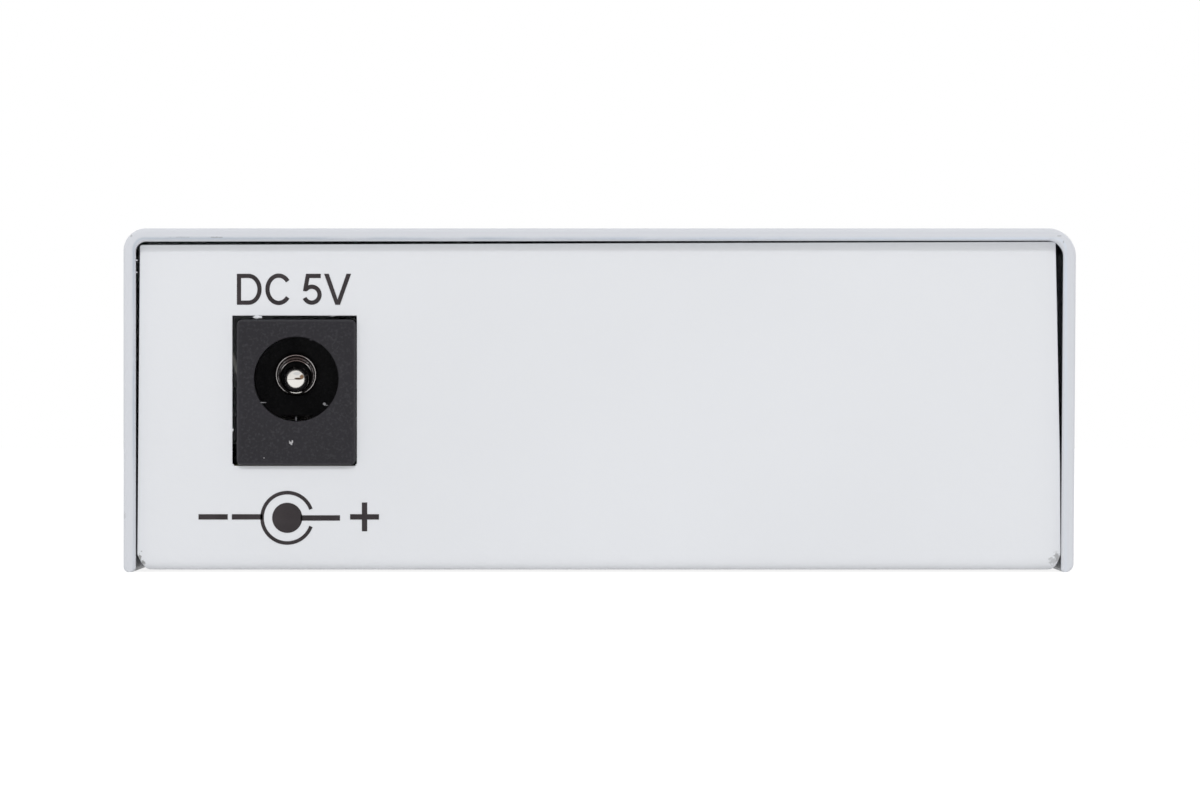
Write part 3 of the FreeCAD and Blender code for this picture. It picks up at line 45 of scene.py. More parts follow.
def addObject(name, mesh):
    made = bpy.data.objects.new(name, mesh)
    bpy.context.scene.collection.objects.link(made)
    return made


def meshOf(name, shape):
    mesh = bpy.data.meshes.new(name)
    shape.to_mesh(mesh)
    shape.free()
    return mesh


def closedObject(name, shape):
    bmesh.ops.recalc_face_normals(shape, faces=shape.faces)
    return addObject(name, meshOf(name, shape))


def smoothBy(mesh, degrees):
    mesh.shade_smooth()
    mesh.set_sharp_from_angle(angle=math.radians(degrees))


def applied(obj):
    # a plain mesh of what the modifiers make, as a new object of the same name
    graph = bpy.context.evaluated_depsgraph_get()
    mesh = bpy.data.meshes.new_from_object(obj.evaluated_get(graph))
    name = mesh.name = obj.name
    bpy.data.objects.remove(obj)
    return addObject(name, mesh)


def flatFacesFlat(obj):
    weigh = obj.modifiers.new("flat faces stay flat", "WEIGHTED_NORMAL")
    weigh.keep_sharp = True
    return applied(obj)


def paintAll(obj, material):
    obj.data.materials.clear()
    obj.data.materials.append(material)


def keepPiece(obj, slotName, *standsFor):
    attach(obj, "root")
    if standsFor:
        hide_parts(*standsFor)
    return obj


def finishPiece(obj, material, degrees, slotName, *standsFor):
    smoothBy(obj.data, degrees)
    paintAll(obj, material)
    return keepPiece(obj, slotName, *standsFor)


def softCopy(nodeName, pieceName, material, slotName, width, degrees=35):
    # the solid's own form, with its edges broken as on the real piece
    shape = bmesh.new()
    shape.from_mesh(cadNodes[nodeName].data)
    bmesh.ops.remove_doubles(shape, verts=shape.verts, dist=1e-6)
    bmesh.ops.dissolve_limit(shape, angle_limit=math.radians(0.5), verts=shape.verts, edges=shape.edges)
    obj = addObject(pieceName, meshOf(pieceName, shape))
    bevel = obj.modifiers.new("broken edges", "BEVEL")
    bevel.width = width
    bevel.segments = 2
    bevel.limit_method = "ANGLE"
    bevel.angle_limit = math.radians(degrees)
    smoothBy(obj.data, degrees)
    obj = flatFacesFlat(obj)
    paintAll(obj, material)
    return keepPiece(obj, slotName, nodeName)


def turned(shape, rings, centre, steps, axis="Y"):
    # rings are (place along the axis, radius, lift above it); a radius of 0 is a pole
    turn = {"X": (1, 2, 0), "Y": (2, 0, 1), "Z": (0, 1, 2)}[axis]
    loops = []
    for along, radius, *lift in rings:
        loop = []
        for k in range(steps if radius else 1):
            angle = 2 * math.pi * k / steps
            place = [0.0, 0.0, 0.0]
            place[turn[0]] = radius * math.cos(angle)
            place[turn[1]] = radius * math.sin(angle)
            place[turn[2]] = along
            place[2] += lift[0] if lift else 0.0
            loop.append(shape.verts.new(Vector(centre) + Vector(place)))
        loops.append(loop)
    for first, second in zip(loops, loops[1:]):
        for k in range(steps):
            after = (k + 1) % steps
            if len(first) == 1:
                shape.faces.new((first[0], second[after], second[k]))
            elif len(second) == 1:
                shape.faces.new((first[k], first[after], second[0]))
            else:
                shape.faces.new((first[k], first[after], second[after], second[k]))


def box(shape, low, high):
    made = bmesh.ops.create_cube(shape, size=1.0)["verts"]
    for vert in made:
        vert.co = Vector([a + (b - a) * (c + 0.5) for a, b, c in zip(low, high, vert.co)])
    return made


def inMetres(lengths, others=()):
    # lengths are given in millimetres, and counts, shares and angles as they are
    def metres(entry):
        return tuple(map(metres, entry)) if isinstance(entry, tuple) else entry * mm
    return {**{key: metres(entry) for key, entry in lengths.items()}, **dict(others)}


def ramp(reach, over):
    # 0 where reach is nothing or less, 1 from over on
    return min(max(reach / over, 0), 1)


# Node trees

def feed(tree, socket, entry):
    if isinstance(entry, bpy.types.NodeSocket):
        tree.links.new(entry, socket)
    else:
        socket.default_value = entry


def put(tree, kind, values=None, **settings):
    node = tree.nodes.new(kind)
    for key, entry in settings.items():
        setattr(node, key, entry)
    for key, entry in (values or {}).items():
        feed(tree, node.inputs[key], entry)
    return node


def outOf(tree, kind, values=None, **settings):
    return put(tree, kind, values, **settings).outputs[0]


def newTree(name, kind, inputs, outputs):
    # inputs and outputs give the sockets' labels by their kind
    tree = bpy.data.node_groups.new(name, kind)
    for direction, sockets in (("INPUT", inputs), ("OUTPUT", outputs)):
        for socketKind, labels in sockets.items():
            for label in labels:
                tree.interface.new_socket(label, in_out=direction, socket_type="NodeSocket" + socketKind)
    return tree, tree.nodes.new("NodeGroupInput").outputs, tree.nodes.new("NodeGroupOutput").inputs


def runTree(obj, tree, values):
    modifier = obj.modifiers.new(tree.name, "NODES")
    modifier.node_group = tree
    for item in tree.interface.items_tree:
        if item.in_out == "INPUT" and item.name in values:
            modifier[item.identifier] = values[item.name]
    obj.update_tag()
    return applied(obj)


def value(tree, operation, *entries, clamp=False):
    node = put(tree, "ShaderNodeMath", operation=operation, use_clamp=clamp)
    for socket, entry in zip(node.inputs, entries):
        feed(tree, socket, entry)
    return node.outputs[0]


def vector(tree, operation, *entries):
    node = put(tree, "ShaderNodeVectorMath", operation=operation)
    for socket, entry in zip(node.inputs, entries):
        feed(tree, socket, entry)
    return node.outputs["Value" if operation == "LENGTH" else "Vector"]


def axes(tree, place):
    return put(tree, "ShaderNodeSeparateXYZ", {"Vector": place}).outputs


def point(tree, **parts):
    return outOf(tree, "ShaderNodeCombineXYZ", parts)


def noise(tree, place, scale, detail=2.0, roughness=0.5):
    return put(tree, "ShaderNodeTexNoise",
               {"Vector": place, "Scale": scale, "Detail": detail, "Roughness": roughness}).outputs["Fac"]


def ranged(tree, entry, low, high, toLow=0.0, toHigh=1.0):
    return outOf(tree, "ShaderNodeMapRange",
                 {"Value": entry, "From Min": low, "From Max": high, "To Min": toLow, "To Max": toHigh})


def mixColour(tree, share, first, second):
    return put(tree, "ShaderNodeMix", {0: share, 6: first, 7: second}, data_type="RGBA").outputs[2]


def groupWith(tree, wanted, values):
    return put(tree, "ShaderNodeGroup", values, node_tree=wanted).outputs


# Shader groups that several finishes share

def grainGroup():
    # fine relief of paint and mouldings, and two slower changes of tone
    tree, given, wanted = newTree("surfaceGrain", "ShaderNodeTree",
                                  {"Vector": ["Vector"], "Float": ["Grain Per Metre"]},
                                  {"Float": ["Height", "Tone", "Mottle"]})
    place, perMetre = given["Vector"], given["Grain Per Metre"]
    cell = put(tree, "ShaderNodeTexVoronoi",
               {"Vector": place, "Scale": value(tree, "MULTIPLY", perMetre, 0.8), "Smoothness": 1.0},
               feature="SMOOTH_F1").outputs["Distance"]
    height = value(tree, "MULTIPLY_ADD", cell, -0.5, noise(tree, place, perMetre, 3.0, 0.55))
    tree.links.new(height, wanted["Height"])
    tree.links.new(noise(tree, place, 38.0), wanted["Tone"])
    tree.links.new(noise(tree, place, 420.0, 4.0), wanted["Mottle"])
    return tree


def speckGroup():
    # sparse round flecks: Share is the part of the cells that has one
    tree, given, wanted = newTree("flecks", "ShaderNodeTree",
                                  {"Vector": ["Vector"], "Float": ["Cells Per Metre", "Share", "Size"]},
                                  {"Float": ["Mask"]})
    place, perMetre, size = given["Vector"], given["Cells Per Metre"], given["Size"]
    cell = put(tree, "ShaderNodeTexVoronoi", {"Vector": place, "Scale": perMetre}).outputs
    draw = outOf(tree, "ShaderNodeSeparateColor", {"Color": cell["Color"]})
    chosen = value(tree, "LESS_THAN", draw, given["Share"])
    ragged = noise(tree, place, value(tree, "MULTIPLY", perMetre, 6.0))
    edge = value(tree, "MULTIPLY_ADD", ragged, size, value(tree, "MULTIPLY", size, 0.5))
    near = value(tree, "LESS_THAN", cell["Distance"], edge)
    tree.links.new(value(tree, "MULTIPLY", chosen, near), wanted["Mask"])
    return tree


def spotGroup():
    # one spot at a place on the piece, with a ragged rim, for scuffs and tarnish and for painted shade, highlight and
    # reflection
    tree, given, wanted = newTree("raggedSpot", "ShaderNodeTree",
                                  {"Vector": ["Vector", "Centre", "Reach"], "Float": ["Ragged"]}, {"Float": ["Mask"]})
    away = vector(tree, "DIVIDE", vector(tree, "SUBTRACT", given["Vector"], given["Centre"]), given["Reach"])
    rough = value(tree, "SUBTRACT", noise(tree, given["Vector"], 5200.0, 3.0), 0.5)
    reach = value(tree, "ADD", vector(tree, "LENGTH", away), value(tree, "MULTIPLY", rough, given["Ragged"]))
    tree.links.new(value(tree, "MULTIPLY_ADD", reach, -2.5, 2.5, clamp=True), wanted["Mask"])
    return tree


def brushGroup():
    # drawn lines of rolled or turned metal along the stretched direction
    tree, given, wanted = newTree("drawnLines", "ShaderNodeTree",
                                  {"Vector": ["Vector", "Stretch"], "Float": ["Lines Per Metre"]},
                                  {"Float": ["Height", "Dullness"]})
    place = vector(tree, "MULTIPLY", given["Vector"], given["Stretch"])
    tree.links.new(noise(tree, place, given["Lines Per Metre"], 4.0), wanted["Height"])
    tree.links.new(noise(tree, given["Vector"], 300.0, 3.0), wanted["Dullness"])
    return tree


surfaceGrain = grainGroup()
flecks = speckGroup()
raggedSpot = spotGroup()
drawnLines = brushGroup()


def newMaterial(name, shaderValues):
    material = bpy.data.materials.new(name)
    material.use_nodes = True
    tree = material.node_tree
    shader = tree.nodes["Principled BSDF"]
    for key, entry in shaderValues.items():
        shader.inputs[key].default_value = entry
    return material, tree, shader, tree.nodes.new("ShaderNodeTexCoord").outputs["Object"]


def intoShader(tree, shader, colour, roughness, height, depth):
    tree.links.new(colour, shader.inputs["Base Color"])
    if roughness is not None:
        tree.links.new(roughness, shader.inputs["Roughness"])
    bump = outOf(tree, "ShaderNodeBump", {"Height": height, "Distance": depth, "Strength": 1.0})
    tree.links.new(bump, shader.inputs["Normal"])


def grainAt(tree, place, perMetre):
    return groupWith(tree, surfaceGrain, {"Vector": place, "Grain Per Metre": perMetre})


def fleckMask(tree, place, perMetre, share, size, strength):
    cells = {"Vector": place, "Cells Per Metre": perMetre, "Share": share, "Size": size}
    return value(tree, "MULTIPLY", groupWith(tree, flecks, cells)["Mask"], strength)


def spotMask(tree, place, middle, reach, ragged):
    return groupWith(tree, raggedSpot, {"Vector": place, "Centre": [part * mm for part in middle],
                                   "Reach": [part * mm for part in reach], "Ragged": ragged})["Mask"]


def brighter(colour, factor):
    return (*[part * factor for part in colour[:3]], 1.0)


# Finishes

bareMetalAndShade = (0.20, 0.20, 0.19, 1.0)
paintLook = {
    "cover": {"colour": (0.645, 0.661, 0.700, 1.0), "roughness": 0.46, "grain": 2300.0, "depth": 0.000016},
    "tray": {"colour": (0.752, 0.765, 0.792, 1.0), "roughness": 0.42, "grain": 1900.0, "depth": 0.000008},
}
rimShadeLook = {  # the painted shade line runs round a corner of each fold; its colour goes from left to right, from a darker shade to a painted highlight
    "left": (0.48, 0.533, 0.60, 1.0), "right": (0.64, 0.70, 0.79, 1.0), "blend": (-10.0 * mm, 30.0 * mm),
    "corner": (34.4 * mm, 24.4 * mm), "radius": 0.83 * mm, "width": 0.16 * mm, "end": 46.72 * mm,
    "fades": (5.0 * mm, 13.0 * mm), "footStrength": 0.3, "streaksPerMetre": 1900.0,
}


def paintedRimShade(tree, place, look):
    # painted shade along the cover's cut ends, near their inner rim: a bluish dark line, turning to a painted
    # highlight towards the right, over a shallow groove in the relief
    x, y, z = axes(tree, place)
    across = value(tree, "MAXIMUM", value(tree, "SUBTRACT", value(tree, "ABSOLUTE", x), look["corner"][0]), 0.0)
    up = value(tree, "MAXIMUM", value(tree, "SUBTRACT", z, look["corner"][1]), 0.0)
    reach = value(tree, "SQRT", value(tree, "MULTIPLY_ADD", across, across, value(tree, "MULTIPLY", up, up)))
    away = value(tree, "ABSOLUTE", value(tree, "SUBTRACT", reach, look["radius"]))
    line = value(tree, "MULTIPLY_ADD", away, -1.0 / look["width"], 1.0, clamp=True)
    atEnd = value(tree, "GREATER_THAN", value(tree, "ABSOLUTE", y), look["end"])
    streak = noise(tree, vector(tree, "MULTIPLY", place, (0.12, 1.0, 0.12)), look["streaksPerMetre"], 3.0)
    strength = value(tree, "MULTIPLY", ranged(tree, streak, 0.35, 0.6, 0.35),
                     ranged(tree, z, *look["fades"], look["footStrength"]))
    tint = mixColour(tree, ranged(tree, x, *look["blend"]), look["left"], look["right"])
    return value(tree, "MULTIPLY", value(tree, "MULTIPLY", line, atEnd), strength), tint


def paint(name, look, scuffsAndShade, rimShade=None):
    # powder coat: slow change of tone, fine relief, bare spots where it was knocked, dark spots of painted shade
    # where given, and where given a painted shade and highlight line along the cut ends
    material, tree, shader, place = newMaterial(name, {"Roughness": look["roughness"], "Specular IOR Level": 0.35})
    grain = grainAt(tree, place, look["grain"])
    height = grain["Height"]
    darker, lighter, dusty = [brighter(look["colour"], factor) for factor in (0.985, 1.012, 0.8)]
    colour = mixColour(tree, ranged(tree, grain["Tone"], 0.3, 0.7), darker, lighter)
    colour = mixColour(tree, fleckMask(tree, place, 330.0, 0.02, 0.025, 0.25), colour, dusty)
    if rimShade:
        line, rimShadeTint = paintedRimShade(tree, place, rimShade)
        colour = mixColour(tree, line, colour, rimShadeTint)
        height = value(tree, "MULTIPLY_ADD", line, -1.5, height)
    wornAndShaded = 0.0
    for middle, reach, strength in scuffsAndShade:
        spot = value(tree, "MULTIPLY", spotMask(tree, place, middle, reach, 2.2), strength)
        wornAndShaded = value(tree, "MAXIMUM", wornAndShaded, spot)
    roughness = ranged(tree, grain["Mottle"], 0.3, 0.7, look["roughness"] - 0.04, look["roughness"] + 0.04)
    intoShader(tree, shader, mixColour(tree, wornAndShaded, colour, bareMetalAndShade),
               value(tree, "MULTIPLY_ADD", wornAndShaded, 0.2, roughness), height, look["depth"])
    return material


coverScuffs = [  # middle, reach in millimetres, and how far the paint is gone
    ((-35.42, -46.95, 25.42), (0.10, 0.5, 0.10), 0.40),
    ((-29.0, -46.9, 25.30), (0.60, 0.5, 0.06), 0.45),
    ((-31.6, -46.9, 25.33), (0.80, 0.5, 0.05), 0.22),
    ((34.75, -46.9, 25.42), (0.20, 0.5, 0.05), 0.45),
    ((35.05, -46.9, 24.95), (0.05, 0.5, 0.12), 0.40),
    ((-35.9, -46.9, 4.3), (0.10, 0.4, 0.30), 0.20),
    ((35.7, -12.0, 25.8), (0.15, 0.5, 0.12), 0.35),
    ((-35.7, 31.0, 25.7), (0.15, 0.8, 0.12), 0.35),
]
# scuffs on the tray's paint, and painted shade on the flanges' ends
trayScuffsAndShade = [
    ((-34.78, -46.1, 1.13), (0.12, 0.9, 0.30), 0.75),
    ((-34.52, -46.1, 0.74), (0.18, 0.9, 0.30), 0.75),
    ((34.60, -46.1, 1.18), (0.30, 0.9, 0.42), 0.60),
    ((34.25, -46.1, 0.85), (0.34, 0.9, 0.30), 0.42),
    ((-34.66, -46.2, 1.57), (0.07, 0.4, 0.06), 0.60),
    ((-34.5, 46.1, 0.95), (0.25, 0.9, 0.40), 0.40),
    ((34.45, 46.1, 0.95), (0.25, 0.9, 0.40), 0.40),
    *[((x, y, 1.3), (1.4, 0.45, 1.8), 0.9) for x in (-34.2, 34.2) for y in (-44.4, 44.4)],  # painted shade: the flanges' ends darkened for the shade in the gaps behind the panel's foot corners
]
coverPaint = paint("coverPaint", paintLook["cover"], coverScuffs, rimShadeLook)
trayPaint = paint("trayPaint", paintLook["tray"], trayScuffsAndShade)


def paintedEdgeHighlight(tree, place, rim):
    # painted highlight: a pale line along a moulding's rounded front edge
    x, y, z = axes(tree, place)
    insets = []
    for entry, (low, high) in ((x, rim["across"]), (z, rim["up"])):
        sides = (value(tree, "SUBTRACT", entry, low * mm), value(tree, "SUBTRACT", high * mm, entry))
        insets.append(value(tree, "MINIMUM", *sides))
    line = value(tree, "MULTIPLY_ADD", value(tree, "MINIMUM", *insets), -1.0 / (rim["width"] * mm), 1.0, clamp=True)
    return value(tree, "MULTIPLY", line, value(tree, "LESS_THAN", y, rim["front"] * mm))


def moulded(name, colour, roughness, grainPerMetre=5200.0, specular=0.3, dustShare=0.0, rim=None, speckle=None):
    # moulded plastic or epoxy with a fine spark-eroded skin
    material, tree, shader, place = newMaterial(name, {"Roughness": roughness, "Specular IOR Level": specular})
    grain = grainAt(tree, place, grainPerMetre)
    tint = mixColour(tree, ranged(tree, grain["Mottle"], 0.3, 0.7), brighter(colour, 0.88), brighter(colour, 1.12))
    if speckle:
        tint = mixColour(tree, ranged(tree, noise(tree, place, grainPerMetre), 0.5, 0.75), tint, speckle)
    if dustShare:
        tint = mixColour(tree, fleckMask(tree, place, 900.0, dustShare, 0.05, 0.5), tint, (0.16, 0.16, 0.17, 1.0))
    # where given, a painted highlight along the front edge
    if rim:
        tint = mixColour(tree, paintedEdgeHighlight(tree, place, rim), tint, rim["colour"])
    intoShader(tree, shader, tint, ranged(tree, grain["Mottle"], 0.3, 0.7, roughness - 0.06, roughness + 0.06),
               grain["Height"], 0.000012)
    return material


def metal(name, colour, roughness, stretch=(1.0, 1.0, 1.0), linesPerMetre=3500.0, depth=0.000004, marksAndPaintedLight=()):
    # plated or rolled metal with drawn lines, duller patches and, where given, spots of tarnish and of painted shade,
    # highlight and reflection
    material, tree, shader, place = newMaterial(name, {"Metallic": 1.0, "Roughness": roughness})
    lines = groupWith(tree, drawnLines, {"Vector": place, "Stretch": stretch, "Lines Per Metre": linesPerMetre})
    tint = mixColour(tree, ranged(tree, lines["Dullness"], 0.35, 0.7), colour, brighter(colour, 0.82))
    for middle, reach, spotColour in marksAndPaintedLight:
        tint = mixColour(tree, spotMask(tree, place, middle, reach, 0.5), tint, spotColour)
    intoShader(tree, shader, tint, ranged(tree, lines["Dullness"], 0.3, 0.7, roughness * 0.8, roughness * 1.3),
               lines["Height"], depth)
    return material


# painted highlight along the inlet moulding's front edge
inletEdgeHighlight = {"across": (-27.45, -18.45), "up": (8.1, 19.1), "front": -46.35, "width": 0.2,
            "colour": (0.036, 0.035, 0.040, 1.0)}
inletPlastic = moulded("inletPlastic", (0.0155, 0.0145, 0.0185, 1.0), 0.55, specular=0.28, dustShare=0.02,
                       rim=inletEdgeHighlight, speckle=(0.030, 0.029, 0.034, 1.0))
frayedPlastic = moulded("frayedPlastic", (0.20, 0.20, 0.21, 1.0), 0.6)
paleDust = moulded("paleDust", (0.42, 0.42, 0.43, 1.0), 0.8)
socketPlastic = moulded("socketPlastic", (0.018, 0.018, 0.02, 1.0), 0.5)
fibrePlastic = moulded("fibrePlastic", (0.022, 0.024, 0.03, 1.0), 0.5, grainPerMetre=3200.0)
clipPlastic = moulded("clipPlastic", (0.62, 0.61, 0.56, 1.0), 0.45, specular=0.5)
epoxy = moulded("mouldedEpoxy", (0.016, 0.016, 0.017, 1.0), 0.6, grainPerMetre=6500.0)
firedCeramic = moulded("firedCeramic", (0.42, 0.29, 0.18, 1.0), 0.5, specular=0.5)
pinLinesAndReflection = [  # a dark line across the tip, a brown notch beside it that is a painted reflection of the camera, a thin dark grey line below, and a grey patch above that is a painted reflection
    ((-22.78, -45.7, 14.63), (0.40, 0.6, 0.10), (0.075, 0.05, 0.035, 1.0)),
    ((-22.53, -45.7, 14.77), (0.20, 0.6, 0.20), (0.22, 0.14, 0.085, 1.0)),
    ((-23.25, -45.7, 14.57), (0.55, 0.6, 0.02), (0.22, 0.21, 0.20, 1.0)),
    ((-22.90, -45.7, 15.02), (0.34, 0.6, 0.16), (0.60, 0.60, 0.60, 1.0)),
]
# painted shade: near-black for the dark parts of the eyelet and its bore
paintedShadeBlack = (0.010, 0.009, 0.009, 1.0)
eyeletTarnishAndPaintedLight = [  # brown tarnish above and darker brown between the lips; painted shade low on the outer lip, at the sides of the inner one and deep in the bore; a painted highlight low on the inner lip, with painted shade either side
    ((-23.05, -38.02, 16.45), (1.10, 0.26, 0.50), (0.32, 0.265, 0.26, 1.0)),
    ((-23.05, -37.71, 16.00), (1.40, 0.22, 0.40), (0.20, 0.155, 0.15, 1.0)),
    ((-23.05, -38.02, 13.38), (1.25, 0.24, 0.66), paintedShadeBlack),
    ((-24.30, -37.71, 14.35), (1.08, 0.24, 1.35), paintedShadeBlack),
    ((-21.80, -37.71, 14.35), (1.08, 0.24, 1.35), paintedShadeBlack),
    ((-23.05, -36.60, 14.90), (9.0, 1.05, 9.0), paintedShadeBlack),
    ((-23.05, -37.20, 16.40), (1.30, 0.45, 0.75), (0.075, 0.056, 0.053, 1.0)),
    ((-23.03, -37.71, 13.55), (0.42, 0.22, 0.30), (0.90, 0.89, 0.85, 1.0)),
    ((-23.68, -37.71, 13.72), (0.25, 0.24, 0.28), paintedShadeBlack),
    ((-22.42, -37.71, 13.72), (0.25, 0.24, 0.28), paintedShadeBlack),
]
pinNickel = metal("pinNickel", (0.83, 0.81, 0.77, 1.0), 0.17, depth=0.000001, marksAndPaintedLight=pinLinesAndReflection)
eyeletNickel = metal("eyeletNickel", (0.60, 0.57, 0.57, 1.0), 0.2, depth=0.000002, marksAndPaintedLight=eyeletTarnishAndPaintedLight)
terminalTin = metal("terminalTin", (0.66, 0.65, 0.62, 1.0), 0.3)
shieldTin = metal("shieldTin", (0.60, 0.60, 0.605, 1.0), 0.3, stretch=(0.06, 1.0, 1.0), linesPerMetre=6000.0)
screwSteel = metal("screwSteel", (0.43, 0.43, 0.44, 1.0), 0.27, linesPerMetre=5200.0)
standoffSteel = metal("standoffSteel", (0.56, 0.55, 0.52, 1.0), 0.32, stretch=(1.0, 1.0, 0.1))
contactGold = metal("contactGold", (0.90, 0.64, 0.27, 1.0), 0.42, stretch=(1.0, 0.1, 0.1))
sleeveSteel = metal("sleeveSteel", (0.70, 0.69, 0.67, 1.0), 0.22, stretch=(1.0, 0.08, 1.0))
canAluminium = metal("canAluminium", (0.76, 0.76, 0.77, 1.0), 0.3, stretch=(1.0, 1.0, 0.08))


def inkMaterial():
    material, tree, shader, place = newMaterial("printInk", {"Roughness": 0.5, "Specular IOR Level": 0.3})
    grain = grainAt(tree, place, 3800.0)
    thin = ranged(tree, grain["Mottle"], 0.35, 0.7)
    tint = mixColour(tree, thin, (0.020, 0.0155, 0.0175, 1.0), (0.037, 0.030, 0.033, 1.0))
    intoShader(tree, shader, tint, None, grain["Height"], 0.000006)
    return material


lensLook = {"first": (21.4, 11.7), "pitch": (4.2, 5.0), "half": (1.3, 0.75),  # millimetres, in x and z
            "core": (0.70, 0.80, 0.60, 1.0), "rim": (0.30, 0.40, 0.27, 1.0), "haze": (0.8, 0.85, 0.75, 1.0)}


def lensMaterial(look):
    # milky lens: paler in the middle of each lens, darker towards its rim
    material, tree, shader, place = newMaterial(
        "lampLens", {"Roughness": 0.16, "IOR": 1.5, "Transmission Weight": 0.25, "Coat Weight": 0.5})
    x, _, z = axes(tree, place)
    squares = []
    for entry, first, pitch, half in zip((x, z), look["first"], look["pitch"], look["half"]):
        away = value(tree, "WRAP", value(tree, "SUBTRACT", entry, first * mm), pitch / 2 * mm, -pitch / 2 * mm)
        squares.append(value(tree, "POWER", value(tree, "ABSOLUTE", value(tree, "DIVIDE", away, half * mm)), 2.0))
    grain = grainAt(tree, place, 1500.0)
    tint = mixColour(tree, ranged(tree, value(tree, "ADD", *squares), 0.15, 1.3), look["core"], look["rim"])
    tint = mixColour(tree, ranged(tree, grain["Mottle"], 0.3, 0.7, 0.0, 0.12), tint, look["haze"])
    intoShader(tree, shader, tint, None, grain["Height"], 0.000003)
    return material


boardLook = {
    "mask": (0.012, 0.105, 0.045, 1.0), "track": (0.022, 0.175, 0.070, 1.0), "edge": (0.30, 0.27, 0.13, 1.0),
    "tracksPerMetre": 210.0, "trackShare": 0.42, "fieldsPerMetre": 75.0,
}


def boardMaterial(look):
    # solder mask over copper tracks, and bare laminate on the cut edges
    material, tree, shader, place = newMaterial("solderMask", {"Roughness": 0.32, "Coat Weight": 0.2})
    bend = noise(tree, place, 90.0, 0.0)
    crooked = value(tree, "SNAP", value(tree, "MULTIPLY", bend, 0.02), 0.0025)
    stripes = []
    for main in axes(tree, place)[:2]:
        wave = value(tree, "MULTIPLY", value(tree, "ADD", main, crooked), look["tracksPerMetre"])
        stripes.append(value(tree, "LESS_THAN", value(tree, "FRACT", wave), look["trackShare"]))
    field = put(tree, "ShaderNodeTexVoronoi", {"Vector": place, "Scale": look["fieldsPerMetre"]},
                distance="CHEBYCHEV").outputs["Color"]
    pick = value(tree, "GREATER_THAN", outOf(tree, "ShaderNodeSeparateColor", {"Color": field}), 0.5)
    track = value(tree, "ADD", value(tree, "MULTIPLY", stripes[0], pick),
                  value(tree, "MULTIPLY", stripes[1], value(tree, "SUBTRACT", 1.0, pick)), clamp=True)
    normal = tree.nodes.new("ShaderNodeNewGeometry").outputs["Normal"]
    cut = value(tree, "LESS_THAN", value(tree, "ABSOLUTE", axes(tree, normal)["Z"]), 0.5)
    tint = mixColour(tree, cut, mixColour(tree, track, look["mask"], look["track"]), look["edge"])
    intoShader(tree, shader, tint, None, track, 0.00003)
    return material


printInk = inkMaterial()
lampLens = lensMaterial(lensLook)
solderMask = boardMaterial(boardLook)
print("finishes made:", len(bpy.data.materials))


# What the piece trees share

def pieceTree(name, **sockets):
    # a piece, its sizes and its material go in, and the finished piece comes out
    return newTree(name, "GeometryNodeTree", {"Geometry": ["Geometry"], **sockets, "Material": ["Material"]},
                   {"Geometry": ["Geometry"]})


def rowOf(tree, count, step, start=(0.0, 0.0, 0.0)):
    return outOf(tree, "GeometryNodeMeshLine", {"Count": count, "Start Location": start, "Offset": step},
                 mode="OFFSET")


def placedOn(tree, points, piece):
    return outOf(tree, "GeometryNodeInstanceOnPoints", {"Points": points, "Instance": piece})


def withCopy(tree, geometry, **move):
    both = put(tree, "GeometryNodeJoinGeometry")
    tree.links.new(geometry, both.inputs[0])
    tree.links.new(outOf(tree, "GeometryNodeTransform", {"Geometry": geometry, **move}), both.inputs[0])
    return both.outputs[0]


def endTree(tree, geometry, given, wanted):
    real = outOf(tree, "GeometryNodeRealizeInstances", {"Geometry": geometry})
    painted = outOf(tree, "GeometryNodeSetMaterial", {"Geometry": real, "Material": given["Material"]})
    tree.links.new(painted, wanted["Geometry"])
    return tree


# Cover: one sheet folded over the sides, with its vents

coverSizes = inMetres({
    "Width": 72.0, "Height": 26.0, "Sheet": 1.0, "Length": 94.0,
    "Left Fold": 1.2, "Right Fold": 1.62, "Edge Radius": 0.3,  # the folds' radii at the middle of the sheet
    "Vent Pitch": 4.5, "Vent Width": 1.8, "Vent Height": 9.0, "Vent Middle": 16.5, "Vent Corner": 0.3,
    "leftLeg": (0.5, 0.42, 0.42),  # lowest line from the outer face, and the radii outside and inside
    "rightLeg": (0.7, 0.66, 0.28),
    "rimRounding": 0.12, "rimEnds": (0.6, 45.0),  # above, and short of the open ends
}, {"Vent Count": 8, "legSteps": 6})
coverFit = inMetres({  # how the real sheet differs from a drawn one
    "legTop": 25.2, "legFade": 0.8, "legInside": 1.4, "insideFade": 0.35,
    "topRise": 0.07, "topBand": (24.3, 25.2), "topFade": 0.6, "topFrom": 1.02,
    "riseFrom": -9.0, "riseOver": 30.0, "endZone": 45.0, "legLean": 0.18, "leanFrom": 30.0,
}, {"thinner": (0.075, 0.045)})


def filleted(tree, curve, count, radius):
    return outOf(tree, "GeometryNodeFilletCurve", {"Curve": curve, "Count": count, "Radius": radius}, mode="POLY")


def rectangle(tree, width, height):
    return outOf(tree, "GeometryNodeCurvePrimitiveQuadrilateral", {"Width": width, "Height": height})


def sweep(tree, curve, section):
    # the section's own x follows the length of the case
    aligned = outOf(tree, "GeometryNodeSetCurveNormal", {"Curve": curve, "Normal": (0.0, 1.0, 0.0)}, mode="FREE")
    return outOf(tree, "GeometryNodeCurveToMesh",
                 {"Curve": aligned, "Profile Curve": section, "Fill Caps": True})


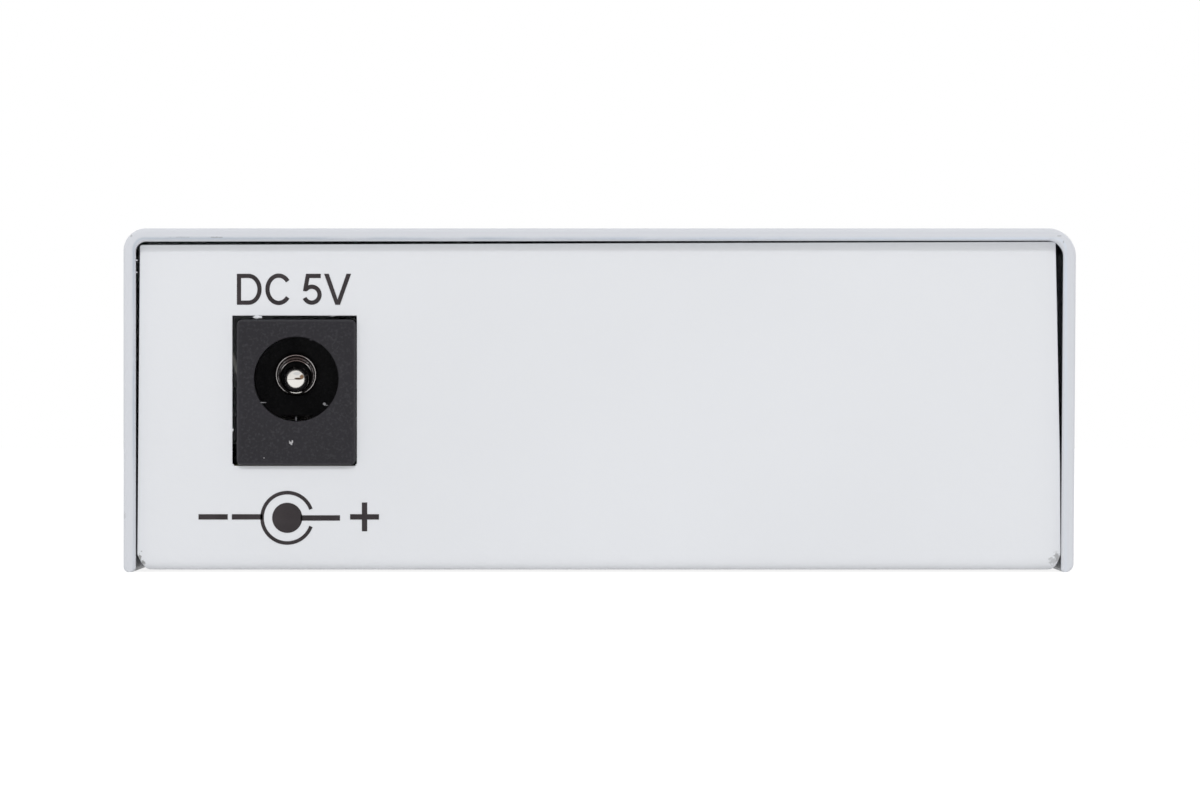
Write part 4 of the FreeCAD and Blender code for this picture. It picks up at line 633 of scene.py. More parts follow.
def coverTree():
    tree, given, wanted = pieceTree(
        "foldedCover", Int=["Vent Count"],
        Float=["Sheet", "Length", "Left Fold", "Right Fold", "Edge Radius", "Vent Pitch", "Vent Width", "Vent Height",
               "Vent Middle", "Vent Corner", "Reach"])
    line = outOf(tree, "GeometryNodeMeshToCurve", {"Mesh": given["Geometry"]})
    onRight = value(tree, "GREATER_THAN", axes(tree, outOf(tree, "GeometryNodeInputPosition"))["X"], 0.0)
    wider = value(tree, "SUBTRACT", given["Right Fold"], given["Left Fold"])
    folded = filleted(tree, line, 20, value(tree, "MULTIPLY_ADD", onRight, wider, given["Left Fold"]))
    section = filleted(tree, rectangle(tree, given["Length"], given["Sheet"]), 5, given["Edge Radius"])
    sheet = sweep(tree, folded, section)
    slot = filleted(tree, rectangle(tree, given["Vent Width"], given["Vent Height"]), 4, given["Vent Corner"])
    start = point(tree, X=value(tree, "MULTIPLY", given["Reach"], -1.0))
    across = outOf(tree, "GeometryNodeCurvePrimitiveLine", {"Start": start, "End": point(tree, X=given["Reach"])})
    halfRow = value(tree, "MULTIPLY", value(tree, "SUBTRACT", given["Vent Count"], 1.0),
                    value(tree, "MULTIPLY", given["Vent Pitch"], -0.5))
    row = rowOf(tree, given["Vent Count"], point(tree, Y=given["Vent Pitch"]),
                point(tree, Y=halfRow, Z=given["Vent Middle"]))
    cutters = placedOn(tree, row, sweep(tree, across, slot))
    cutters = outOf(tree, "GeometryNodeRealizeInstances", {"Geometry": cutters})
    opened = outOf(tree, "GeometryNodeMeshBoolean", {"Mesh 1": sheet, "Mesh 2": cutters},
                   operation="DIFFERENCE", solver="EXACT")
    return endTree(tree, opened, given, wanted)


def foldLine(sizes):
    side = sizes["Width"] / 2 - sizes["Sheet"] / 2
    top = sizes["Height"] - sizes["Sheet"] / 2
    line = bmesh.new()
    corners = [line.verts.new(p) for p in ((-side, 0, 0), (-side, 0, top), (side, 0, top), (side, 0, 0))]
    for first, second in zip(corners, corners[1:]):
        line.edges.new((first, second))
    return meshOf("foldLine", line)


# Screws through the cover's legs: one tree places them and what sinks their seats

sideScrewSizes = inMetres({
    "Spacing": 60.0, "Height": 4.1, "Face": 35.92,
    "headRadius": 2.5, "shankRadius": 1.45, "length": 4.4, "cone": 1.0, "rim": 0.06,
    "recess": (0.38, 1.5, 0.85),  # width, reach and depth of the cross
    "seatPlay": 0.16, "seatCone": (0.08, -0.92), "seatEnds": (2.0, -3.0),
}, {"recessFloor": 0.55, "steps": 48})


def sidesTree():
    tree, given, wanted = pieceTree("throughTheLegs", Float=["Spacing", "Height", "Face"])
    start = point(tree, X=given["Face"], Y=value(tree, "MULTIPLY", given["Spacing"], -0.5), Z=given["Height"])
    pair = placedOn(tree, rowOf(tree, 2, point(tree, Y=given["Spacing"]), start), given["Geometry"])
    return endTree(tree, withCopy(tree, pair, Rotation=(0.0, 0.0, math.pi)), given, wanted)


def crossCutter(sizes):
    # two crossed blades along x that taper towards the recess's floor
    width, reach, depth = sizes["recess"]
    shape = bmesh.new()
    for across, up in ((reach, width), (width, reach)):
        for vert in box(shape, (-depth, -across, -up), (depth, across, up)):
            if vert.co.x < 0:
                vert.co.y *= sizes["recessFloor"]
                vert.co.z *= sizes["recessFloor"]
    return shape


def cutWith(obj, cutter, selfMeeting=False):
    cut = obj.modifiers.new("cut", "BOOLEAN")
    cut.object = cutter
    cut.operation = "DIFFERENCE"
    cut.solver = "EXACT"
    cut.use_self = selfMeeting
    opened = applied(obj)
    bpy.data.objects.remove(cutter)
    return opened


def sunkScrew(sizes):
    shape = bmesh.new()
    head, shank, rim, length = sizes["headRadius"], sizes["shankRadius"], sizes["rim"], sizes["length"]
    turned(shape, [(0, 0), (0, head - rim), (-rim, head), (-sizes["cone"], shank), (rim - length, shank),
                   (-length, shank - rim), (-length, 0)], (0, 0, 0), sizes["steps"], "X")
    screw = closedObject("coverScrews", shape)
    return cutWith(screw, closedObject("crossCutter", crossCutter(sizes)), True)


def seatCutter(sizes):
    shape = bmesh.new()
    head, shank = sizes["headRadius"] + sizes["seatPlay"], sizes["shankRadius"] + sizes["seatPlay"]
    outside, inside = sizes["seatEnds"]
    wide, narrow = sizes["seatCone"]
    turned(shape, [(outside, 0), (outside, head), (wide, head), (narrow, shank), (inside, shank), (inside, 0)],
           (0, 0, 0), sizes["steps"], "X")
    return closedObject("seatCutter", shape)


def placeOnLegs(fastener, sizes, material):
    return runTree(fastener, legsTree, {**sizes, "Material": material})


def isSharp(edge):
    return len(edge.link_faces) == 2 and edge.calc_face_angle(0.0) > math.radians(40)


def roundRims(mesh, sizes):
    # the edges of the vents and seats, on both faces of the legs
    faces = (sizes["Width"] / 2, sizes["Width"] / 2 - sizes["Sheet"])
    above, along = sizes["rimEnds"]

    def onLegFace(edge):
        flat = any(all(abs(abs(vert.co.x) - face) < 1e-6 for vert in edge.verts) for face in faces)
        return flat and min(v.co.z for v in edge.verts) > above and max(abs(v.co.y) for v in edge.verts) < along

    shape = bmesh.new()
    shape.from_mesh(mesh)
    bmesh.ops.remove_doubles(shape, verts=shape.verts, dist=1e-7)
    bmesh.ops.recalc_face_normals(shape, faces=shape.faces)
    edges = [edge for edge in shape.edges if isSharp(edge) and onLegFace(edge)]
    bmesh.ops.bevel(shape, geom=edges, offset=sizes["rimRounding"], segments=2, profile=0.5, affect="EDGES",
                    clamp_overlap=True)
    shape.to_mesh(mesh)
    shape.free()


def roundLegEnds(mesh, sizes):
    shape = bmesh.new()
    shape.from_mesh(mesh)
    for radius in sorted({*sizes["leftLeg"][1:], *sizes["rightLeg"][1:]}):
        for k in range(1, sizes["legSteps"] + 1):
            height = radius * (1 - math.cos(math.pi / 2 * k / sizes["legSteps"]))
            bmesh.ops.bisect_plane(shape, geom=[*shape.verts, *shape.edges, *shape.faces], dist=1e-7,
                                   plane_co=(0, 0, height), plane_no=(0, 0, 1))
    for vert in shape.verts:
        tip, outerRadius, innerRadius = sizes["leftLeg" if vert.co.x < 0 else "rightLeg"]
        line = sizes["Width"] / 2 - tip
        away = abs(vert.co.x) - line
        radius, reach = (outerRadius, tip) if away > 0 else (innerRadius, sizes["Sheet"] - tip)
        if vert.co.z < radius:
            inset = radius - math.sqrt(max(radius ** 2 - (radius - vert.co.z) ** 2, 0.0))
            vert.co.x = math.copysign(line + away * (1 - inset / reach), vert.co.x)
    shape.to_mesh(mesh)
    shape.free()


def settleCover(cover, sizes, fit):
    # thinner down the legs, higher along the top towards the right, and pressed in at the right leg's foot
    outer = sizes["Width"] / 2
    low, high = fit["topBand"]
    for vert in cover.data.vertices:
        inwards = outer - abs(vert.co.x)
        if inwards < fit["legInside"]:
            share = fit["thinner"][vert.co.x > 0] * ramp(fit["legTop"] - vert.co.z, fit["legFade"])
            share *= ramp(fit["legInside"] - inwards, fit["insideFade"])
            vert.co.x = math.copysign(outer - inwards * (1 - share), vert.co.x)
        if vert.co.y < -fit["endZone"] and low < vert.co.z < high and inwards > fit["topFrom"]:
            rise = ramp(vert.co.x - fit["riseFrom"], fit["riseOver"]) * ramp(vert.co.z - low, fit["topFade"])
            vert.co.z += fit["topRise"] * rise
        if vert.co.x > fit["leanFrom"]:
            vert.co.x -= fit["legLean"] * (1 - vert.co.z / sizes["Height"]) ** 2


def makeCover(sizes, fit):
    cover = runTree(addObject("coverShell", foldLine(sizes)), coverTree(),
                    {**sizes, "Reach": sizes["Width"], "Material": coverPaint})
    cover = cutWith(cover, placeOnLegs(seatCutter(sideScrewSizes), sideScrewSizes, None))
    roundRims(cover.data, sizes)
    roundLegEnds(cover.data, sizes)
    settleCover(cover, sizes, fit)
    smoothBy(cover.data, 30)
    cover = flatFacesFlat(cover)
    paintAll(cover, coverPaint)
    return keepPiece(cover, "cover_paint", "cover")


legsTree = sidesTree()
coverShell = makeCover(coverSizes, coverFit)
print("cover:", len(coverShell.data.polygons), "faces")

coverScrews = placeOnLegs(sunkScrew(sideScrewSizes), sideScrewSizes, screwSteel)
smoothBy(coverScrews.data, 30)
keepPiece(coverScrews, "screw_steel", "cover_screws")
print("cover screws placed")

# Tray, standoffs and the screws that hold the board

trayFit = inMetres({
    "leftOut": 0.07, "leanLeft": 0.19, "leanFrom": 5.0, "leanOver": 15.0,
    "rightOut": 0.10, "leanRight": 0.04,  # the right edge leans only below
    "foot": (0.2, 1.2), "edges": 33.2, "endZone": 44.0,
    "foldMiddle": (45.0, 1.4), "foldFrom": 0.9,
    "cornerMiddle": (34.2, 24.35), "cornerFrom": 0.3,  # the panel's top corners, squarer on the left
    "cadLean": 0.25, "cadTop": 24.85,
    "pinchRight": 0.12, "pinchFrom": 22.8, "pinchOver": 2.0,
    "topTilt": 0.10, "topFrom": 24.0, "topReach": 32.0,
}, {"rightFull": 0.9, "squareness": 4.0, "cornerSquareness": (8.0, 2.6)})


def squared(out, up, power, beyond):
    # where a point of a quarter circle goes, pushed out towards the corner of its square; None for the others
    reach = math.hypot(out, up)
    if out <= 0 or up <= 0 or reach <= beyond:
        return None
    push = ((out / reach) ** power + (up / reach) ** power) ** (-1 / power)
    return out * push, up * push


def settleTray(tray, fit):
    # the inlet panel's edges run out towards its foot, its top tilts, and both folds are pressed tight
    foldY, foldZ = fit["foldMiddle"]
    cornerX, cornerZ = fit["cornerMiddle"]
    for vert in tray.data.vertices:
        pressed = squared(abs(vert.co.y) - foldY, foldZ - vert.co.z, fit["squareness"], fit["foldFrom"])
        if pressed:
            vert.co.y = math.copysign(foldY + pressed[0], vert.co.y)
            vert.co.z = foldZ - pressed[1]
        if vert.co.y > -fit["endZone"]:
            continue
        onRight = vert.co.x > 0
        leanIn = fit["cadLean"] * vert.co.z / fit["cadTop"] if onRight else 0.0
        sharper = squared(abs(vert.co.x) + leanIn - cornerX, vert.co.z - cornerZ, fit["cornerSquareness"][onRight],
                          fit["cornerFrom"])
        if sharper:
            vert.co.x = math.copysign(cornerX + sharper[0] - leanIn, vert.co.x)
            vert.co.z = cornerZ + sharper[1]
        foot = ramp(vert.co.z - fit["foot"][0], fit["foot"][1])
        lean = 1 - ramp(vert.co.z - fit["leanFrom"], fit["leanOver"])
        if vert.co.x < -fit["edges"]:
            vert.co.x -= (fit["leftOut"] + fit["leanLeft"] * lean) * foot
        if vert.co.x > fit["edges"]:
            vert.co.x += (fit["rightOut"] + fit["leanRight"] * (lean > fit["rightFull"])) * foot
            vert.co.x -= fit["pinchRight"] * ramp(vert.co.z - fit["pinchFrom"], fit["pinchOver"]) ** 2
        if vert.co.z > fit["topFrom"]:
            vert.co.z += fit["topTilt"] * vert.co.x / fit["topReach"]


trayShell = softCopy("base_tray", "trayShell", trayPaint, "tray_paint", 0.1 * mm, 40)
settleTray(trayShell, trayFit)
softCopy("board_standoffs", "boardStandoffs", standoffSteel, "standoff_steel", 0.06 * mm)

boardScrewSizes = inMetres({
    "Low": (-28.5, -26.0, 8.1), "Across": 57.0, "Along": 44.0,
    "headRadius": 2.6, "headHeight": 1.7, "shankRadius": 1.45, "length": 4.8,
    "recess": (0.4, 1.3, 0.9),
}, {"headRings": ((1.0, 0.55), (0.9, 0.85), (0.6, 0.97), (0.3, 1.0), (0.0, 1.0)), "recessFloor": 0.55, "steps": 32})


def cornersTree():
    tree, given, wanted = pieceTree("boardCorners", Vector=["Low"], Float=["Across", "Along"])
    pair = placedOn(tree, rowOf(tree, 2, point(tree, X=given["Across"]), given["Low"]), given["Geometry"])
    return endTree(tree, withCopy(tree, pair, Translation=point(tree, Y=given["Along"])), given, wanted)


def panScrew(sizes):
    shape = bmesh.new()
    top, head, shank, length = [sizes[key] for key in ("headHeight", "headRadius", "shankRadius", "length")]
    rings = [(top * up, head * out) for up, out in sizes["headRings"]]
    turned(shape, [(top, 0), *rings, (0, shank), (-length, shank), (-length, 0)], (0, 0, 0), sizes["steps"], "Z")
    cross = crossCutter(sizes)
    bmesh.ops.rotate(cross, verts=cross.verts, matrix=Matrix.Rotation(-math.pi / 2, 3, "Y"))
    bmesh.ops.translate(cross, verts=cross.verts, vec=(0, 0, top))
    return cutWith(closedObject("boardScrews", shape), closedObject("crossCutter", cross), True)


boardScrews = runTree(panScrew(boardScrewSizes), cornersTree(), {**boardScrewSizes, "Material": screwSteel})
smoothBy(boardScrews.data, 30)
keepPiece(boardScrews, "screw_steel", "board_screws")
print("tray, standoffs and board screws made")

# Power inlet: moulding, domed pin and eyelet; the nibs round its bore are made with the small lumps below

inletSizes = inMetres({
    "axis": (-22.95, -46.6, 14.6),
    "left": -4.5, "right": 4.5, "low": -6.5, "high": 4.5,  # the collar's face about the axis
    "cornerRadius": 0.42, "faceRounding": 0.2, "collarDepth": 3.4,
    "barrelHalf": 4.2, "barrelDepth": 13.6,
    "boreRadius": 3.2, "boreLip": 0.05, "boreDepth": 9.8, "eyeletShift": -0.10,
    "pinRadius": 0.96, "pinShift": -0.05, "pinTip": 0.9, "domeLength": 0.70,
    "pinShoulder": 8.6, "shoulderEdge": 0.15, "stemRadius": 0.7, "stemEnd": 14.2,
    "terminal": ((-1.2, 13.6, -9.1), (1.2, 13.9, 2.0)),  # its box, from the axis
}, {"evenSteps": 96, "cornerSteps": 4, "cornerTurn": 0.016, "faceSteps": 5, "pinSteps": 64, "domeSteps": 16,
    "eyeletSteps": 96})


def collarPoint(ray, sizes, inset):
    # where a ray from the axis meets the collar's rounded rectangle
    radius = max(sizes["cornerRadius"] - inset, 0.01 * mm)
    left, right = sizes["left"] + inset, sizes["right"] - inset
    low, high = sizes["low"] + inset, sizes["high"] - inset
    reach = min(t for t in ((right if ray.x > 0 else left) / ray.x if abs(ray.x) > 1e-9 else 1.0,
                            (high if ray.y > 0 else low) / ray.y if abs(ray.y) > 1e-9 else 1.0))
    corner = Vector((right - radius if ray.x > 0 else left + radius, high - radius if ray.y > 0 else low + radius))
    hit = ray * reach
    if (hit.x - corner.x) * ray.x > 0 and (hit.y - corner.y) * ray.y > 0:
        along = corner.dot(ray)
        reach = along + math.sqrt(max(radius ** 2 - corner.length_squared + along ** 2, 0.0))
    return ray * reach


def barrelPoint(ray, sizes):
    if ray.y >= 0:
        return ray * sizes["barrelHalf"]
    sides = [sizes["barrelHalf"] / abs(ray.x)] if abs(ray.x) > 1e-9 else []
    return ray * min([*sides, sizes["low"] / ray.y])


def raysOut(sizes):
    # even steps, and closer ones round each corner of the collar
    angles = [2 * math.pi * k / sizes["evenSteps"] for k in range(sizes["evenSteps"])]
    closer = range(-sizes["cornerSteps"], sizes["cornerSteps"] + 1)
    for x in (sizes["left"], sizes["right"]):
        for z in (sizes["low"], sizes["high"]):
            angles += [math.atan2(z, x) + k * sizes["cornerTurn"] for k in closer]
            angles.append(math.atan2(z, math.copysign(sizes["barrelHalf"], x)))
    angles = sorted({round(angle % (2 * math.pi), 5) for angle in angles})
    return [Vector((math.cos(angle), math.sin(angle))) for angle in angles]


def quarterTurn(steps):
    return [math.pi / 2 * k / steps for k in range(steps + 1)]


def makeHousing(sizes):
    shape = bmesh.new()
    rays = raysOut(sizes)
    x, y, z = sizes["axis"]
    bore, lip, rounding = sizes["boreRadius"], sizes["boreLip"], sizes["faceRounding"]
    loops = []

    def loop(depth, outline):
        loops.append([shape.verts.new((x + at.x, y + depth, z + at.y)) for at in map(outline, rays)])

    for depth, radius in ((sizes["boreDepth"], bore), (lip, bore), (0.0, bore + lip)):
        loop(depth, lambda ray: ray * radius)
    for turn in quarterTurn(sizes["faceSteps"]):
        loop(rounding * (1 - math.cos(turn)), lambda ray: collarPoint(ray, sizes, rounding * (1 - math.sin(turn))))
    loop(sizes["collarDepth"], lambda ray: collarPoint(ray, sizes, 0.0))
    for depth in (sizes["collarDepth"], sizes["barrelDepth"]):
        loop(depth, lambda ray: barrelPoint(ray, sizes))
    for first, second in zip(loops, loops[1:]):
        for k in range(len(rays)):
            after = (k + 1) % len(rays)
            shape.faces.new((first[k], first[after], second[after], second[k]))
    shape.faces.new(loops[0])
    shape.faces.new(loops[-1])
    housing = closedObject("inletHousing", shape)
    smoothBy(housing.data, 30)
    housing = flatFacesFlat(housing)
    paintAll(housing, inletPlastic)
    keepPiece(housing, "black_plastic", "power_inlet_housing")


def makePin(sizes):
    shape = bmesh.new()
    tip, radius, stem = sizes["pinTip"], sizes["pinRadius"], sizes["stemRadius"]
    shoulder, edge, end = sizes["pinShoulder"], sizes["shoulderEdge"], sizes["stemEnd"]
    dome = [(tip + sizes["domeLength"] * (1 - math.cos(turn)), radius * math.sin(turn))
            for turn in quarterTurn(sizes["domeSteps"])]
    axis = Vector(sizes["axis"])
    back = [(shoulder - edge, radius), (shoulder, radius - edge), (shoulder, stem), (end, stem), (end, 0)]
    turned(shape, [*dome, *back], axis + Vector((sizes["pinShift"], 0, 0)), sizes["pinSteps"])
    box(shape, *[axis + Vector(corner) for corner in sizes["terminal"]])
    finishPiece(closedObject("inletPin", shape), pinNickel, 40, "nickel", "power_inlet_centre_pin")


eyeletRings = [  # depth behind the face, radius, lift above the axis, in millimetres
    (9.80, 1.13, 0.20), (8.96, 1.13, 0.20), (8.91, 1.14, 0.20), (8.89, 1.16, 0.20), (8.885, 1.215, 0.18),
    (8.89, 1.265, 0.17), (8.92, 1.28, 0.17), (9.28, 1.285, 0.17), (9.30, 1.30, 0.19), (9.30, 1.38, 0.31),
    (9.28, 1.395, 0.33), (8.66, 1.405, 0.33), (8.62, 1.415, 0.33), (8.605, 1.44, 0.33), (8.60, 1.49, 0.33),
    (8.605, 1.545, 0.33), (8.63, 1.575, 0.33), (8.70, 1.59, 0.33), (9.60, 1.59, 0.32), (9.80, 1.50, 0.30),
    (10.20, 1.40, 0.25), (10.20, 1.13, 0.20), (9.80, 1.13, 0.20),
]


def makeEyelet(sizes, rings):
    shape = bmesh.new()
    x, y, z = sizes["axis"]
    rows = [[part * mm for part in ring] for ring in rings]
    turned(shape, rows, (x + sizes["eyeletShift"], y, z), sizes["eyeletSteps"])
    bmesh.ops.remove_doubles(shape, verts=shape.verts, dist=1e-7)
    finishPiece(closedObject("inletEyelet", shape), eyeletNickel, 50, "nickel", "power_inlet_eyelet")


makeHousing(inletSizes)
makePin(inletSizes)
makeEyelet(inletSizes, eyeletRings)
print("power inlet made")

# Small lumps: nibs of flash on the bore's rim, dust on the moulding, beads of paint in the gaps

lumps = {  # material, slot, then the middle and half sizes of each in millimetres
    "mouldingNibs": (frayedPlastic, "black_plastic", [
        ((-25.45, -46.56, 12.82), (0.27, 0.05, 0.04)), ((-20.82, -46.54, 12.72), (0.12, 0.06, 0.11)),
        ((-20.66, -46.57, 12.62), (0.14, 0.03, 0.03)), ((-22.96, -46.56, 11.60), (0.04, 0.04, 0.17))]),
    "dustSpecks": (paleDust, "black_plastic", [
        ((-23.36, -46.60, 9.78), (0.13, 0.03, 0.08)), ((-23.24, -46.60, 9.87), (0.06, 0.03, 0.12)),
        ((-23.30, -46.60, 9.66), (0.07, 0.03, 0.05)), ((-23.46, -46.60, 9.90), (0.04, 0.03, 0.04)),
        ((-25.38, -46.60, 8.64), (0.04, 0.02, 0.04))]),
    "rimNick": (inletPlastic, "black_plastic", [((-21.80, -46.57, 17.57), (0.16, 0.05, 0.06))]),
    "trayPaintNibs": (trayPaint, "tray_paint", [
        ((-25.85, -46.14, 19.27), (0.36, 0.12, 0.13)), ((-20.2, -46.05, 19.36), (0.30, 0.05, 0.03)),
        ((-27.75, -46.10, 10.75), (0.08, 0.10, 0.12)), ((-27.78, -46.08, 8.05), (0.14, 0.10, 0.14)),
        ((-18.38, -46.08, 8.05), (0.14, 0.10, 0.14))]),
    "coverPaintNibs": (coverPaint, "cover_paint", [
        ((-35.00, -46.84, 23.58), (0.08, 0.06, 0.06)), ((-35.02, -46.84, 22.68), (0.08, 0.06, 0.05)),
        ((35.03, -46.88, 24.86), (0.10, 0.07, 0.10))]),
}


def makeLumps(name, material, slotName, rows):
    shape = bmesh.new()
    for index, (middle, half) in enumerate(rows):
        for vert in bmesh.ops.create_icosphere(shape, subdivisions=3, radius=1.0)["verts"]:
            lump = 1 + 0.16 * math.sin(5 * vert.co.x + index) * math.cos(4 * vert.co.z - 2 * index)
            vert.co = Vector([(a + h * c * lump) * mm for a, h, c in zip(middle, half, vert.co)])
    finishPiece(addObject(name, meshOf(name, shape)), material, 60, slotName)


for name, row in lumps.items():
    makeLumps(name, *row)
print("nibs made")

# Print on the inlet panel: generic rating and the standard polarity sign

printSizes = inMetres({
    "panel": -46.2, "film": 0.02,
    "signHeight": 4.18, "stroke": 0.405,
    "minus": (-30.34, -28.13), "leftLine": (-27.82, -25.50),
    "rightLine": (-22.60, -19.64), "rightDrop": 0.08,
    "plus": (-18.88, -16.69), "plusHeight": 2.18,
    "ringMiddle": (-23.63, 4.11), "ringRadius": 1.905, "ringStroke": 0.27, "dotRadius": 1.14,
    "ratingMiddle": -23.12, "ratingLow": 20.22, "capHeight": 2.34,
}, {"ringOpening": 20.0, "letterStroke": 0.136, "layerRise": 0.2, "filledRise": 0.6})


def film(shape, outline, thickness):
    # a flat closed outline in x and z becomes a thin film on the panel
    front, back = [[shape.verts.new((x, printSizes["panel"] + depth, z)) for x, z in outline]
                   for depth in (-thickness, thickness)]
    shape.faces.new(front)
    shape.faces.new(list(reversed(back)))
    for k in range(len(outline)):
        after = (k + 1) % len(outline)
        shape.faces.new((front[k], back[k], back[after], front[after]))


def strokeFilm(shape, path, width, thickness, closed=False):
    # a pen stroke of even width along a path, with mitred corners
    points = [Vector(p) for p in path]
    count = len(points)
    rows = []
    for k, at in enumerate(points):
        before = points[k - 1] if closed or k else None
        after = points[(k + 1) % count] if closed or k < count - 1 else None
        sides = [(b - a).normalized() for a, b in ((before, at), (at, after)) if a is not None and b is not None]
        normals = [Vector((-side.y, side.x)) for side in sides]
        mitre = sum(normals, Vector((0.0, 0.0))).normalized()
        mitre = mitre * (width / 2 / max(mitre.dot(normals[0]), 0.3))
        rows.append([shape.verts.new((p.x, printSizes["panel"] + depth, p.y))
                     for p in (at + mitre, at - mitre) for depth in (-thickness, thickness)])
    for k in range(count if closed else count - 1):
        a, b = rows[k], rows[(k + 1) % count]
        for i, j in ((0, 2), (2, 3), (3, 1), (1, 0)):
            shape.faces.new((a[i], a[j], b[j], b[i]))
    if not closed:
        for row in (rows[0], rows[-1]):
            shape.faces.new((row[0], row[1], row[3], row[2]))


def arcPoints(x, z, across, up, start, end, steps):
    angles = [math.radians(start + (end - start) * k / steps) for k in range(steps + 1)]
    return [(x + across * math.cos(a), z + up * math.sin(a)) for a in angles]


def keepPrint(name, shape):
    mark = closedObject(name, shape)
    paintAll(mark, printInk)
    keepPiece(mark, "tray_paint")


def polarityMark(sizes):
    shape = bmesh.new()
    height, stroke, thickness = sizes["signHeight"], sizes["stroke"], sizes["film"]
    for part, drop in (("minus", 0.0), ("leftLine", 0.0), ("rightLine", sizes["rightDrop"]), ("plus", 0.0)):
        strokeFilm(shape, [(x, height - drop) for x in sizes[part]], stroke, thickness)
    middle, reach = sum(sizes["plus"]) / 2, sizes["plusHeight"] / 2
    for low, high in ((height + stroke / 2, height + reach), (height - reach, height - stroke / 2)):
        strokeFilm(shape, [(middle, low), (middle, high)], stroke, thickness)
    x, z = sizes["ringMiddle"]
    radius, opening, dot = sizes["ringRadius"], sizes["ringOpening"], sizes["dotRadius"]
    strokeFilm(shape, arcPoints(x, z, radius, radius, opening, 360 - opening, 72), sizes["ringStroke"], thickness)
    film(shape, arcPoints(x, z, dot, dot, 0, 355, 71), thickness)
    keepPrint("polarityMark", shape)


# Each letter gives its width, its strokes and whether they close, and its filled outlines, in cap heights

def letterD(pen):
    h = pen / 2
    bowl = arcPoints(0.38, 0.5, 0.42 - h, 0.5 - h, -90, 90, 20)
    return 0.80, [([(h, h), *bowl, (h, 1 - h)], True)], []


def letterC(pen):
    h = pen / 2
    return 0.85, [(arcPoints(0.43, 0.5, 0.43 - h, 0.51 - h, 36, 324, 30), False)], []


def letterV():
    return 0.87, [], [[(0.0, 1.0), (0.15, 1.0), (0.435, 0.17), (0.72, 1.0), (0.87, 1.0), (0.51, 0.0), (0.36, 0.0)]]


def figureFive(pen):
    h = pen / 2
    bowl = arcPoints(0.31, 0.325, 0.32 - h, 0.325 - h, 138, -156, 26)
    neck = [(0.60, 1 - h), (0.18, 1 - h), (0.095, 0.46)]
    foot = [(0.03, 0.45), (0.045, 0.52), (0.15, 0.55), (0.19, 0.49), (0.135, 0.43)]
    return 0.65, [(neck, False), (bowl, False)], [foot]


def ratingMark(sizes):
    # DC 5V in a plain upright hand
    shape = bmesh.new()
    cap, pen, thickness = sizes["capHeight"], sizes["letterStroke"], sizes["film"]
    row = [(letterD(pen), 0.12), (letterC(pen), 0.34), (figureFive(pen), 0.06), (letterV(), 0.0)]
    at = sizes["ratingMiddle"] - sum(letter[0] + gap for letter, gap in row) * cap / 2

    def placed(path):
        return [(at + x * cap, sizes["ratingLow"] + z * cap) for x, z in path]

    for (wide, strokes, outlines), gap in row:
        for layer, (path, closed) in enumerate(strokes):
            strokeFilm(shape, placed(path), pen * cap, thickness * (1 + sizes["layerRise"] * layer), closed)
        for outline in outlines:
            film(shape, placed(outline), thickness * (1 + sizes["filledRise"]))
        at += (wide + gap) * cap
    keepPrint("ratingMark", shape)


polarityMark(printSizes)
ratingMark(printSizes)
print("print made")

# Status lamps: one lens, set out in rows

lampSizes = inMetres({
    "First": (21.4, 44.0, 11.7), "Across": 4.2, "Up": 5.0,
    "width": 2.6, "height": 1.5, "length": 2.6, "rounding": 0.22, "dome": 0.09, "squareBase": 0.1,
}, {"Columns": 3, "Rows": 2})


def rowsTree():
    tree, given, wanted = pieceTree("lampRows", Vector=["First"], Float=["Across", "Up"], Int=["Columns", "Rows"])
    row = rowOf(tree, given["Columns"], point(tree, X=given["Across"]), given["First"])
    column = rowOf(tree, given["Rows"], point(tree, Z=given["Up"]))
    return endTree(tree, placedOn(tree, column, placedOn(tree, row, given["Geometry"])), given, wanted)


def lampLensShape(sizes):
    shape = bmesh.new()
    across, up = sizes["width"] / 2, sizes["height"] / 2
    box(shape, (-across, 0, -up), (across, sizes["length"], up))
    bmesh.ops.recalc_face_normals(shape, faces=shape.faces)
    bmesh.ops.bevel(shape, geom=[e for e in shape.edges if max(v.co.y for v in e.verts) > sizes["squareBase"]],
                    offset=sizes["rounding"], segments=4, profile=0.5, affect="EDGES", clamp_overlap=True)
    for vert in shape.verts:
        if vert.co.y > sizes["length"] - sizes["rounding"]:
            outwards = (vert.co.x / across) ** 2 + (vert.co.z / up) ** 2
            vert.co.y -= sizes["dome"] * min(outwards, 1.0)
    return addObject("lampLenses", meshOf("lampLenses", shape))


lampLenses = runTree(lampLensShape(lampSizes), rowsTree(), {**lampSizes, "Material": lampLens})
smoothBy(lampLenses.data, 40)
keepPiece(lampLenses, "lamp_lens", "status_lamps")
print("lamps set")

# Data ports

softened = {  # piece, material, slot and how far its edges are broken
    "network_socket_shield": ("networkShield", shieldTin, "tinned_sheet", 0.07 * mm),
    "network_socket_insert": ("networkInsert", socketPlastic, "black_plastic", 0.08 * mm),
    "network_socket_contacts": ("networkContacts", contactGold, "gold", 0.05 * mm),
    "fibre_transceiver_housing": ("fibreHousing", fibrePlastic, "fibre_plastic", 0.12 * mm),
    "fibre_sleeves": ("fibreSleeves", sleeveSteel, "sleeve_metal", 0.1 * mm),
    "fibre_latch_clips": ("fibreClips", clipPlastic, "clip_plastic", 0.06 * mm),
}
for nodeName, row in softened.items():
    softCopy(nodeName, *row)
print("data ports made")

# Pieces that keep the CAD node's own mesh

